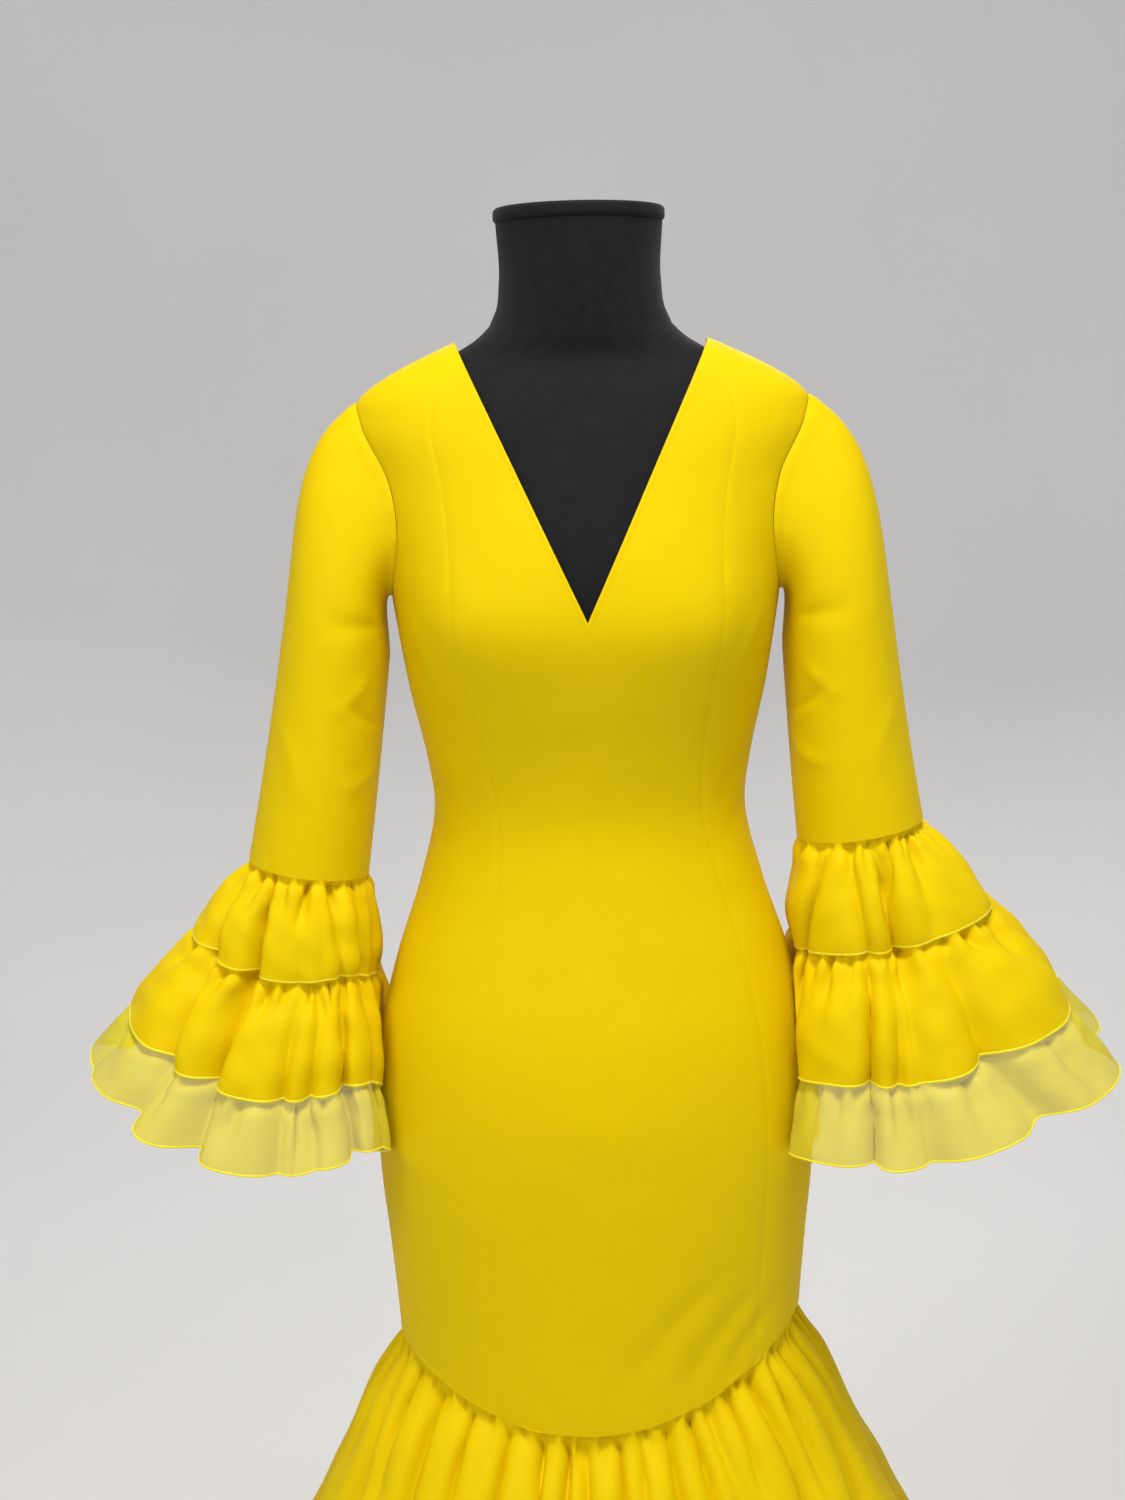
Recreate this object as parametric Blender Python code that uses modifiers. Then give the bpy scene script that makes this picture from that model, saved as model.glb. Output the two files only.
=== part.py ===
"""A yellow flamenco dress on a headless, limbless dress form.

The dress is a fitted body of seven panels, two three-quarter sleeves that end in three
gathered tiers, the last of them organza, and a gathered flounce of four gores from above
the knee to the ankle.  The form is a torso on a pole with a round base.

Metres, +Z up.  The origin is on the floor under the middle of the form, the front of the
dress looks along -Y, and "left" is the -X side.
"""
import math

import bmesh
import bpy
import numpy as np
from mathutils import Matrix, Vector

# --- cloth -------------------------------------------------------------------------------
CREPE_WALL = 0.0015
ORGANZA_WALL = 0.0010
GAP = 0.0003                    # between two pieces at a seam
GATHER_ROOM = 0.0008            # between the body and the flounce, along the curved seam
SMOOTH_UP_TO = 40.0             # degrees between two faces that are shaded as one surface

# --- the body of the dress, as horizontal sections ---------------------------------------
BODY_ROWS = (                   # height, half_width, front_depth, back_depth
    (0.600, 0.160, 0.104, 0.102),
    (0.640, 0.162, 0.106, 0.104),
    (0.700, 0.165, 0.109, 0.108),
    (0.760, 0.170, 0.113, 0.113),
    (0.825, 0.176, 0.117, 0.118),
    (0.885, 0.176, 0.118, 0.119),
    (0.945, 0.170, 0.112, 0.114),
    (1.000, 0.156, 0.101, 0.101),
    (1.060, 0.136, 0.090, 0.084),
    (1.120, 0.123, 0.084, 0.075),
    (1.165, 0.129, 0.092, 0.079),
    (1.210, 0.139, 0.104, 0.086),
    (1.265, 0.148, 0.114, 0.093),
    (1.320, 0.156, 0.107, 0.096),
    (1.375, 0.167, 0.090, 0.090),
    (1.420, 0.178, 0.074, 0.078),
    (1.440, 0.171, 0.066, 0.070),
    (1.460, 0.141, 0.059, 0.062),
    (1.480, 0.097, 0.050, 0.053),
)
BUST_HEIGHT = 1.265
BUST_ANGLE = 38.0
BUST_RISE = 0.011
BUST_SPREAD = 0.055             # up and down
BUST_SPAN = 24.0                # degrees, to each side

BUST_LEVEL = 1.248
CHEST = 1.200                   # the rows of every panel are level with each other here
NECK_POINT = 1.480              # where the neckline crosses the shoulder
NECK_TIP = 1.272                # point of the V in front
BACK_SCOOP = 0.026              # drop of the neckline at the back
SHOULDER = 1.436                # top of the armhole
ARMHOLE_MIDDLE = 1.362
ARMHOLE_RISE = SHOULDER - ARMHOLE_MIDDLE
ARMHOLE_FRONT = 28.0            # degrees that the armhole cuts into the front and back
ARMHOLE_BACK = 25.0
ARMHOLE_STEPS = 8

TWIST = 9.0                     # the skirt has turned this far round on the form
TWIST_TOP = 1.240
TWIST_BOTTOM = 1.000

SEAM_SIDE = 0.692               # flounce seam at the sides, and its drop in front and behind
SEAM_DROP = 0.062
SEAM_TILT = 0.010               # the seam stands this much higher on the right
LOWEST_ROW = 0.660
SKIRT_ROWS = 7
PANELS = (                      # name, first seam, last seam, columns, armhole edge
    ("panel_front_centre", -40.0, 40.0, 8, ""),
    ("panel_front_side_right", 40.0, 90.0, 5, "last"),
    ("panel_back_side_right", 90.0, 138.0, 5, "first"),
    ("panel_back_centre_right", 138.0, 180.0, 4, ""),
    ("panel_back_centre_left", 180.0, 222.0, 4, ""),
    ("panel_back_side_left", 222.0, 270.0, 5, "last"),
    ("panel_front_side_left", 270.0, 320.0, 5, "first"),
)

# --- the sleeves -------------------------------------------------------------------------
SLEEVE_ROWS = {                 # outer_x, outer_z, inner_x, inner_z, half_depth, middle_y
    "right": (
        (0.2405, 1.262, 0.1555, 1.238, 0.0580, -0.002),
        (0.2515, 1.178, 0.1600, 1.163, 0.0555, -0.006),
        (0.2635, 1.103, 0.1655, 1.088, 0.0530, -0.010),
    ),
    "left": (
        (0.2390, 1.256, 0.1570, 1.235, 0.0580, -0.002),
        (0.2545, 1.167, 0.1670, 1.152, 0.0555, -0.006),
        (0.2715, 1.081, 0.1785, 1.066, 0.0530, -0.010),
    ),
}
SLEEVE_COLUMNS = 2 * ARMHOLE_STEPS
SLEEVE_CAP_ROWS = 3
CAP_PULL_TOP = 0.060            # how far the cap runs outwards before it turns down
CAP_PULL_UNDERARM = 0.014
UNDERARM_ROOM = 0.0022          # more room under the arm, where the sleeve turns down
CAP_SLOPE = 0.55                # how steeply the cap leaves the shoulder
CAP_FALL = 0.090                # how early the cap turns into the line of the arm
UNDERARM_FALL = 0.020

# --- the three gathered tiers of a cuff --------------------------------------------------
TIERS = (                       # name, flare out, front, in, back, puff, rows, wall
    ("tier_1", 41.0, 14.0, 2.0, 24.0, 20.0, 2, CREPE_WALL),
    ("tier_2", 41.0, 17.0, 3.0, 26.0, 16.0, 3, CREPE_WALL),
    ("organza", 43.0, 20.0, 4.0, 28.0, 8.0, 1, ORGANZA_WALL),
)
TIER_LENGTHS = {                # as they hang, from seam to hem
    "right": (0.087, 0.101, 0.060),
    "left": (0.083, 0.094, 0.057),
}
SEAM_STRIP = 0.004              # a tier leaves its seam in line with the piece above it
SLEEVE_SLOPE = 5.0              # slope of the sleeve at the first of these seams
TIER_COLUMNS = 36
FOLDS_START = 0.25              # share of the first tier where its folds are half as deep
HIP_ROOM = 0.0045               # the cuffs stay this far from the hips
HEM_LIFTS = {                   # angle, spread, share of the length that a tier is cut shorter
    "right": ((72.0, 30.0, -0.055), (338.0, 26.0, 0.060)),
    "left": ((125.0, 30.0, 0.085), (0.0, 45.0, 0.045)),
}
CUFF_FOLDS = {                  # angle at the seam and each hem, spread, depth at each hem
    "right": (
        ((5.0, 5.0, 4.0, 2.0), 9.0, 0.004, 0.012, 0.016),
        ((50.0, 54.0, 47.0, 41.0), 9.0, 0.003, 0.014, 0.012),
        ((84.0, 72.0, 70.0, 69.0), 8.0, 0.012, 0.006, 0.009),
        ((108.0, 94.0, 96.0, 96.0), 8.0, 0.007, 0.014, 0.014),
        ((124.0, 145.0, 140.0, 138.0), 9.0, 0.010, 0.009, 0.009),
        ((180.0, 180.0, 180.0, 180.0), 10.0, 0.005, 0.006, 0.006),
        ((212.0, 210.0, 210.0, 212.0), 10.0, 0.008, 0.010, 0.012),
        ((240.0, 240.0, 240.0, 240.0), 9.0, 0.005, 0.013, 0.015),
        ((268.0, 270.0, 269.0, 268.0), 9.0, 0.010, 0.009, 0.012),
        ((298.0, 300.0, 301.0, 300.0), 9.0, 0.006, 0.014, 0.017),
        ((330.0, 332.0, 331.0, 332.0), 9.0, 0.009, 0.008, 0.014),
    ),
    "left": (
        ((27.0, 30.0, 33.0, 28.0), 8.0, 0.010, 0.013, 0.016),
        ((62.0, 57.0, 50.0, 50.0), 8.0, 0.015, 0.018, 0.021),
        ((97.0, 88.0, 78.0, 78.0), 9.0, 0.003, 0.008, 0.007),
        ((118.0, 118.0, 111.0, 112.0), 8.0, 0.005, 0.012, 0.013),
        ((140.0, 142.0, 138.0, 136.0), 9.0, 0.008, 0.009, 0.011),
        ((164.0, 162.0, 162.0, 164.0), 9.0, 0.006, 0.008, 0.009),
        ((188.0, 188.0, 188.0, 188.0), 10.0, 0.005, 0.006, 0.007),
        ((218.0, 216.0, 216.0, 218.0), 10.0, 0.009, 0.012, 0.014),
        ((246.0, 246.0, 246.0, 246.0), 9.0, 0.005, 0.010, 0.012),
        ((276.0, 277.0, 276.0, 276.0), 9.0, 0.010, 0.014, 0.016),
        ((306.0, 308.0, 307.0, 306.0), 9.0, 0.006, 0.010, 0.015),
        ((342.0, 344.0, 346.0, 345.0), 8.0, 0.009, 0.012, 0.017),
    ),
}

# --- the flounce -------------------------------------------------------------------------
FLOUNCE_HEM = 0.030
FLOUNCE_ROWS = (                # drop below the seam, spread beyond it, depth of the folds
    (0.000, 0.000, 0.000),
    (0.004, 0.000, 0.000),
    (0.050, 0.024, 0.009),
    (0.110, 0.050, 0.016),
    (0.180, 0.083, 0.024),
    (0.300, 0.137, 0.034),
    (0.440, 0.190, 0.042),
    (0.662, 0.246, 0.050),
)
FLOUNCE_FOLDS = (               # angle at the seam and lower, spread, share of the depth
    (-92.0, -90.0, 8.0, 0.80),
    (-74.0, -70.0, 7.5, 0.85),
    (-52.0, -52.0, 7.5, 1.00),
    (-27.0, -28.0, 7.0, 0.95),
    (-5.0, -4.0, 6.5, 0.85),
    (18.0, 19.0, 6.5, 1.00),
    (31.0, 35.0, 6.0, 0.60),
    (47.0, 51.0, 7.0, 0.95),
    (62.0, 68.0, 7.0, 0.80),
    (88.0, 88.0, 8.0, 0.80),
    (112.0, 112.0, 8.5, 0.95),
    (135.0, 135.0, 8.0, 0.80),
    (158.0, 158.0, 8.0, 1.00),
    (180.0, 180.0, 7.5, 0.75),
    (202.0, 202.0, 8.0, 1.00),
    (226.0, 226.0, 8.5, 0.85),
    (249.0, 249.0, 8.5, 0.95),
)
FLOUNCE_DRIFT = 0.15            # share of the length by which a fold has reached its lower angle
FLOUNCE_LOBE = 0.35             # share of a fold's depth that the cloth beside it stands out
FLOUNCE_LEVELS = (0.07, 0.17, 0.32, 0.62, 1.0)
GORES = (                       # name, first seam, last seam, columns
    ("flounce_front", -40.0, 59.5, 21),
    ("flounce_right", 59.5, 146.0, 18),
    ("flounce_back", 146.0, 214.0, 14),
    ("flounce_left", 214.0, 320.0, 20),
)

# --- the zip down the centre back --------------------------------------------------------
ZIP_HEIGHT = 1.4360             # hinge of the pull tab
SLIDER_SIZE = (0.0070, 0.0018, 0.0110)
SLIDER_ROOM = 0.0008            # between the cloth and the slider
HINGE_STAND = 0.0015            # hinge axis in front of the slider's face
BRIDGE_SIZE = (0.0020, 0.0008, 0.0076)
BRIDGE_LEG = 0.0010
BRIDGE_ROOM = 0.0016            # inside height of the bridge on each side of the axis
PULL_LENGTH = 0.0220
PULL_TOP = 0.0005               # half the pull's thickness, and its bar above the axis
PULL_WIDTH = 0.0052
PULL_TIP_WIDTH = 0.0034
PULL_TIP_CUT = (0.0008, 0.0012) # across and along
PULL_SHOULDER = 0.0014          # below the window, where the pull starts to narrow
WINDOW_WIDTH = 0.0030
WINDOW_LENGTH = 0.0062

# --- the dress form and its stand --------------------------------------------------------
FORM_ROOM = 0.0055              # the form stays this far inside the dress
FORM_BOTTOM = 0.800
FORM_ROUNDING = 0.012
FORM_TOP_OF_CHEST = 1.452
NECK_ROWS = (                   # height, half_width, front_depth, back_depth
    (1.470, 0.102, 0.050, 0.050),
    (1.484, 0.079, 0.053, 0.053),
    (1.500, 0.067, 0.055, 0.055),
    (1.525, 0.0625, 0.057, 0.056),
    (1.5690, 0.0640, 0.059, 0.057),
)
FORM_COLUMNS = 32
TORSO_RINGS = 18
CAP_HEIGHT = 0.0110
CAP_OVERHANG = 0.0020
CAP_BEVEL = 0.0035
SOCKET_RADIUS = 0.024
SOCKET_HEIGHT = 0.050
POLE_RADIUS = 0.0125
POLE_SIDES = 24
BASE_PROFILE = (                # radius, height: top to bottom, down the outer side
    (0.0, 0.0440),
    (0.0180, 0.0440),
    (0.0220, 0.0400),
    (0.0240, 0.0240),
    (0.0400, 0.0160),
    (0.1560, 0.0100),
    (0.1650, 0.0070),
    (0.1650, 0.0),
    (0.0, 0.0),
)
BASE_STEPS = 48


# --- small helpers -----------------------------------------------------------------------
def clear_scene():
    """Remove every object, so that a second run starts afresh."""
    for item in list(bpy.data.objects):
        bpy.data.objects.remove(item, do_unlink=True)


def smooth_row(table, at):
    """Read a table's columns at a value of its first, on a smooth curve through its rows."""
    rows = np.array(table)
    keys, values = rows[:, 0], rows[:, 1:]
    at = min(max(at, keys[0]), keys[-1])
    slopes = np.gradient(values, keys, axis=0)
    low = min(int(np.searchsorted(keys, at, side="right")) - 1, len(keys) - 2)
    span = keys[low + 1] - keys[low]
    t = (at - keys[low]) / span
    return (
        (2 * t**3 - 3 * t**2 + 1) * values[low]
        + (t**3 - 2 * t**2 + t) * span * slopes[low]
        + (3 * t**2 - 2 * t**3) * values[low + 1]
        + (t**3 - t**2) * span * slopes[low + 1]
    )


def mix(first, last, share):
    """Value part of the way from first to last."""
    return first + (last - first) * share


def ease(share):
    """Smooth step from 0 to 1."""
    share = min(max(share, 0.0), 1.0)
    return share * share * (3.0 - 2.0 * share)


def turn_between(angle, other):
    """Degrees from one angle to another, the short way round."""
    return (angle - other + 180.0) % 360.0 - 180.0


def quarter_mix(angle, values):
    """Blend four values given at 0, 90, 180 and 270 degrees."""
    along, across = math.cos(math.radians(angle)), math.sin(math.radians(angle))
    shares = (max(along, 0.0), max(across, 0.0), max(-along, 0.0), max(-across, 0.0))
    return sum(value * share * share for value, share in zip(values, shares))


def make_material(name, colour, roughness, metallic=0.0, sheen=0.0, alpha=1.0):
    """Principled material of one colour."""
    material = bpy.data.materials.new(name)
    material.use_nodes = True
    shader = material.node_tree.nodes["Principled BSDF"]
    shader.inputs["Base Color"].default_value = (*colour, 1.0)
    shader.inputs["Roughness"].default_value = roughness
    shader.inputs["Metallic"].default_value = metallic
    shader.inputs["Sheen Weight"].default_value = sheen
    shader.inputs["Alpha"].default_value = alpha
    return material


def add_object(name, mesh, material, collection):
    """Put a mesh in the part's collection under its node's name."""
    item = bpy.data.objects.new(name, mesh)
    collection.objects.link(item)
    mesh.materials.append(material)
    mesh.shade_smooth()
    mesh.set_sharp_from_angle(angle=math.radians(SMOOTH_UP_TO))
    return item


def loft_mesh(name, rows, closed, flip=False, caps=False):
    """Mesh through rows of points, each row an open line or a closed ring."""
    shape = bmesh.new()
    lines = [[shape.verts.new(point) for point in row] for row in rows]
    count = len(lines[0])
    for upper, lower in zip(lines, lines[1:]):
        for column in range(count if closed else count - 1):
            after = (column + 1) % count
            corners = [upper[column], upper[after], lower[after], lower[column]]
            shape.faces.new(corners[::-1] if flip else corners)
    if caps:
        shape.faces.new(lines[0] if flip else lines[0][::-1])
        shape.faces.new(lines[-1][::-1] if flip else lines[-1])
    mesh = bpy.data.meshes.new(name)
    shape.to_mesh(mesh)
    shape.free()
    return mesh


def add_wall(item, thickness):
    """Give an open cloth surface its thickness, all of it on the outer side."""
    wall = item.modifiers.new("Wall", "SOLIDIFY")
    wall.thickness = thickness
    wall.offset = 1.0
    wall.use_rim = True


# --- the body of the dress ---------------------------------------------------------------
def bust(angle, height):
    """How far the cups stand out."""
    up = (height - BUST_HEIGHT) / BUST_SPREAD
    sides = (BUST_ANGLE, -BUST_ANGLE)
    rises = (math.exp(-((turn_between(angle, side) / BUST_SPAN) ** 2)) for side in sides)
    return BUST_RISE * math.exp(-up * up) * sum(rises)


def body_point(angle, height, out=0.0):
    """Point of the body at an angle from the front, moved out along the section."""
    half_width, front, back = smooth_row(BODY_ROWS, height)
    turn = math.radians(angle)
    depth = front if math.cos(turn) > 0.0 else back
    out += bust(angle, height)
    normal = Vector((depth * math.sin(turn), -half_width * math.cos(turn), 0.0)).normalized()
    return Vector((half_width * math.sin(turn), -depth * math.cos(turn), height)) + normal * out


def seam_height(angle):
    """Height of the flounce seam, lower in front and behind than at the sides."""
    turn = math.radians(angle)
    return SEAM_SIDE - SEAM_DROP * math.cos(turn) ** 2 + SEAM_TILT * math.sin(turn)


def neckline(angle):
    """Height of the neck edge: a straight V in front, a shallow scoop behind."""
    turn = math.radians(angle)
    if math.cos(turn) <= 0.0:
        return NECK_POINT - BACK_SCOOP * math.cos(turn) ** 2
    neck_half = abs(body_point(90.0, NECK_POINT).x)
    low, high = NECK_TIP, NECK_POINT
    for _ in range(30):
        middle = (low + high) / 2.0
        line = mix(NECK_TIP, NECK_POINT, abs(body_point(angle, middle).x) / neck_half)
        if middle < line:
            low = middle
        else:
            high = middle
    return (low + high) / 2.0


def row_height(angle, level):
    """True height of a panel's row, given its height at the side of the body."""
    seam_angle = PANELS[0][2]
    bottom = seam_height(angle) + GAP / 2.0
    top = neckline(angle)
    cap = SHOULDER
    if abs(turn_between(angle, 0.0)) < seam_angle:
        share = (SHOULDER - CHEST) / (neckline(seam_angle) - CHEST)
        cap = mix(CHEST, top, share)
    if level <= CHEST:
        return mix(bottom, CHEST, (level - LOWEST_ROW) / (CHEST - LOWEST_ROW))
    if level <= SHOULDER:
        return mix(CHEST, cap, (level - CHEST) / (SHOULDER - CHEST))
    return mix(cap, top, (level - SHOULDER) / (NECK_POINT - SHOULDER))


def panel_levels():
    """Heights of the rows: even below the armhole, close together round it."""
    below = [mix(LOWEST_ROW, CHEST, step / SKIRT_ROWS) for step in range(SKIRT_ROWS + 1)]
    hole = [
        ARMHOLE_MIDDLE - ARMHOLE_RISE * math.cos(math.pi * step / ARMHOLE_STEPS)
        for step in range(ARMHOLE_STEPS + 1)
    ]
    return below + [BUST_LEVEL] + hole + [mix(SHOULDER, NECK_POINT, 0.5), NECK_POINT]


def notch(height, reach):
    """Degrees that the armhole cuts into a side panel at a height."""
    across = (height - ARMHOLE_MIDDLE) / ARMHOLE_RISE
    return reach * math.sqrt(max(0.0, 1.0 - across * across))


def twist(height):
    """Degrees that the skirt has turned on the form."""
    return TWIST * ease((TWIST_TOP - height) / (TWIST_TOP - TWIST_BOTTOM))


def edge_angle(seam, height, armhole):
    """Angle of a panel's edge at a height, the armhole cut out of it."""
    if not armhole:
        return seam
    reach = ARMHOLE_FRONT if math.cos(math.radians(seam + armhole)) > 0.0 else ARMHOLE_BACK
    return seam + armhole * notch(height, reach)


def build_panel(name, first, last, columns, armhole_edge, material, collection):
    """One panel of the body, from the flounce seam to the neckline."""
    rows = []
    for level in panel_levels():
        row = []
        for column in range(columns + 1):
            share = column / columns
            height = row_height(mix(first, last, share) + twist(level), level)
            start = edge_angle(first, height, 1.0 if armhole_edge == "first" else 0.0)
            end = edge_angle(last, height, -1.0 if armhole_edge == "last" else 0.0)
            radius = body_point(90.0, height).x
            inset = math.degrees(GAP / 2.0 / radius)
            angle = mix(start + inset, end - inset, share) + twist(height)
            row.append(body_point(angle, height))
        rows.append(row)
    item = add_object(name, loft_mesh(name, rows, closed=False), material, collection)
    add_wall(item, CREPE_WALL)


# --- the sleeves -------------------------------------------------------------------------
def armhole_point(angle):
    """Point on the right armhole: 0 at the shoulder, 90 in front, 180 under the arm."""
    height = ARMHOLE_MIDDLE + ARMHOLE_RISE * math.cos(math.radians(angle))
    front = math.sin(math.radians(angle)) >= 0.0
    reach = ARMHOLE_FRONT if front else ARMHOLE_BACK
    side = 90.0 - notch(height, reach) if front else 90.0 + notch(height, reach)
    underarm = (SHOULDER - height) / (2.0 * ARMHOLE_RISE)
    return body_point(side, height, out=CREPE_WALL + GAP + UNDERARM_ROOM * underarm)


def sleeve_ring(row, angle):
    """Point on a ring of the right sleeve."""
    outer_x, outer_z, inner_x, inner_z, half_depth, middle_y = row
    outer, inner = Vector((outer_x, 0.0, outer_z)), Vector((inner_x, 0.0, inner_z))
    turn = math.radians(angle)
    point = (outer + inner) / 2.0 + (outer - inner) / 2.0 * math.cos(turn)
    return point + Vector((0.0, middle_y - half_depth * math.sin(turn), 0.0))


def sleeve_line(side, angle):
    """Points of the sleeve from the armhole to the cuff seam at one angle round the arm."""
    upper, elbow, cuff = (sleeve_ring(row, angle) for row in SLEEVE_ROWS[side])
    start = armhole_point(angle)
    topness = (1.0 + math.cos(math.radians(angle))) / 2.0
    leave = Vector((1.0, 0.0, -CAP_SLOPE * topness)).normalized()
    leave *= mix(CAP_PULL_UNDERARM, CAP_PULL_TOP, topness)
    arrive = (elbow - upper).normalized() * mix(UNDERARM_FALL, CAP_FALL, topness)
    line = []
    for step in range(SLEEVE_CAP_ROWS):
        t = step / SLEEVE_CAP_ROWS
        line.append(
            start * (1.0 - t) ** 3
            + (start + leave) * (3.0 * t * (1.0 - t) ** 2)
            + (upper - arrive) * (3.0 * t * t * (1.0 - t))
            + upper * t**3
        )
    return line + [upper, (upper + elbow) / 2.0, elbow, (elbow + cuff) / 2.0, cuff]


def mirrored(point, side):
    """The point itself on the right, its mirror image on the left."""
    return Vector((-point.x, point.y, point.z)) if side == "left" else point


def build_sleeve(side, material, collection):
    """One sleeve, from the armhole to the seam of the cuff."""
    angles = [360.0 * column / SLEEVE_COLUMNS for column in range(SLEEVE_COLUMNS)]
    lines = [sleeve_line(side, angle) for angle in angles]
    rows = [[mirrored(point, side) for point in ring] for ring in zip(*lines)]
    mesh = loft_mesh("sleeve", rows, closed=True, flip=side == "left")
    add_wall(add_object("sleeve_" + side, mesh, material, collection), CREPE_WALL)


# --- the cuffs ---------------------------------------------------------------------------
def tier_angle(tier, angle, share):
    """Slope of a tier from straight down, in radians: it springs out, then falls."""
    _, *flares, puff, _, _ = TIERS[tier]
    return math.radians(quarter_mix(angle, flares) + puff * (1.0 - 2.0 * share))


def tier_length(side, tier, angle):
    """Length of a tier at an angle: parts of it are cut a little shorter or longer."""
    lift = sum(
        part * math.exp(-((turn_between(angle, place) / spread) ** 2))
        for place, spread, part in HEM_LIFTS[side]
    )
    return TIER_LENGTHS[side][tier] * (1.0 - lift)


def tier_run(side, tier, angle, share):
    """How far out and down a tier has gone from its seam."""
    length = tier_length(side, tier, angle)
    strip = tier_angle(tier - 1, angle, 1.0) if tier else math.radians(SLEEVE_SLOPE)
    flat = min(share * length, SEAM_STRIP)
    out, down = flat * math.sin(strip), flat * math.cos(strip)
    bend = 2.0 * math.radians(TIERS[tier][5])
    begin = tier_angle(tier, angle, 0.0)
    now = tier_angle(tier, angle, max(0.0, share - SEAM_STRIP / length))
    out += length * (math.cos(now) - math.cos(begin)) / bend
    down += length * (math.sin(begin) - math.sin(now)) / bend
    return out, down


def cuff_fold(side, angle, tier, share):
    """Depth of the folds: each deepens from one hem to the next."""
    rise = share ** (math.log(0.5) / math.log(FOLDS_START)) if tier == 0 else share
    total = 0.0
    for places, spread, *depths in CUFF_FOLDS[side]:
        place = mix(places[tier], places[tier + 1], share)
        depth = mix(depths[tier - 1] if tier else 0.0, depths[tier], rise)
        total += depth * math.exp(-((turn_between(angle, place) / spread) ** 2))
    return total


def clear_of_hip(point):
    """Keep a point of the right cuff outside the body."""
    half_width, front, back = smooth_row(BODY_ROWS, point.z)
    depth = front if point.y < 0.0 else back
    across = min(abs(point.y) / depth, 1.0)
    limit = half_width * math.sqrt(1.0 - across * across) + CREPE_WALL + HIP_ROOM
    return Vector((max(point.x, limit), point.y, point.z))


def cuff_point(side, angle, tier, share):
    """Point on a tier of a cuff, share of the way from its seam to its hem."""
    point = sleeve_ring(SLEEVE_ROWS[side][-1], angle)
    out, down = tier_run(side, tier, angle, share)
    for above in range(tier):
        more_out, more_down = tier_run(side, above, angle, 1.0)
        out, down = out + more_out, down + more_down
    out -= cuff_fold(side, angle, tier, share)
    turn = math.radians(angle)
    point += Vector((out * math.cos(turn), -out * math.sin(turn), -down))
    return clear_of_hip(point)


def build_tier(side, tier, material, collection):
    """One gathered tier of a cuff."""
    name, *_, count, wall = TIERS[tier]
    length = TIER_LENGTHS[side][tier]
    strip = SEAM_STRIP / length
    shares = [GAP / length] + [mix(strip, 1.0, row / count) for row in range(count + 1)]
    rows = []
    for share in shares:
        angles = (360.0 * column / TIER_COLUMNS for column in range(TIER_COLUMNS))
        rows.append([mirrored(cuff_point(side, angle, tier, share), side) for angle in angles])
    mesh = loft_mesh(name, rows, closed=True, flip=side == "left")
    add_wall(add_object(f"cuff_{side}_{name}", mesh, material, collection), wall)


# --- the flounce -------------------------------------------------------------------------
def flounce_point(angle, share):
    """Point on the flounce, share of the way from the seam to the hem."""
    top = seam_height(angle) - GATHER_ROOM
    longest = FLOUNCE_ROWS[-1][0]
    drop = share * (top - FLOUNCE_HEM)
    spread, depth = smooth_row(FLOUNCE_ROWS, share * longest)
    drift = ease(share / FLOUNCE_DRIFT)
    fold = sum(
        part * math.exp(-((turn_between(angle, mix(high, low, drift)) / width) ** 2))
        for high, low, width, part in FLOUNCE_FOLDS
    )
    out = spread + FLOUNCE_LOBE * depth - depth * fold
    return body_point(angle, top, out=out) - Vector((0.0, 0.0, drop))


def build_gore(name, first, last, columns, material, collection):
    """One gore of the flounce, from the seam to the hem."""
    strip = FLOUNCE_ROWS[1][0] / FLOUNCE_ROWS[-1][0]
    rows = []
    for share in (0.0, strip, *FLOUNCE_LEVELS):
        row = []
        for column in range(columns + 1):
            radius = body_point(90.0, SEAM_SIDE).x + smooth_row(FLOUNCE_ROWS, share)[0]
            inset = math.degrees(GAP / 2.0 / radius)
            angle = mix(first + inset, last - inset, column / columns)
            row.append(flounce_point(angle, share))
        rows.append(row)
    mesh = loft_mesh(name, rows, closed=False, flip=True)
    item = add_object(name, mesh, material, collection)
    add_wall(item, CREPE_WALL)


# --- the zip -----------------------------------------------------------------------------
def zip_frame():
    """Place of the hinge on the centre back: Y straight out of the cloth, Z up along it."""
    back = 180.0
    step = 0.002
    here = body_point(back, ZIP_HEIGHT)
    up = (body_point(back, ZIP_HEIGHT + step) - body_point(back, ZIP_HEIGHT - step)).normalized()
    side = Vector((1.0, 0.0, 0.0))
    out = up.cross(side).normalized()
    depth = CREPE_WALL + SLIDER_ROOM + SLIDER_SIZE[1] + HINGE_STAND
    place = here + out * depth
    return Matrix.Translation(place) @ Matrix((side, out, up)).transposed().to_4x4()


def box_into(shape, centre, size):
    """Add a box to a bmesh."""
    made = bmesh.ops.create_cube(shape, size=1.0)
    bmesh.ops.scale(shape, vec=size, verts=made["verts"])
    bmesh.ops.translate(shape, vec=centre, verts=made["verts"])


def box_object(name, centre, size, material, collection):
    """A box as an object of its own."""
    shape = bmesh.new()
    box_into(shape, centre, size)
    mesh = bpy.data.meshes.new(name)
    shape.to_mesh(mesh)
    shape.free()
    return add_object(name, mesh, material, collection)


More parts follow.
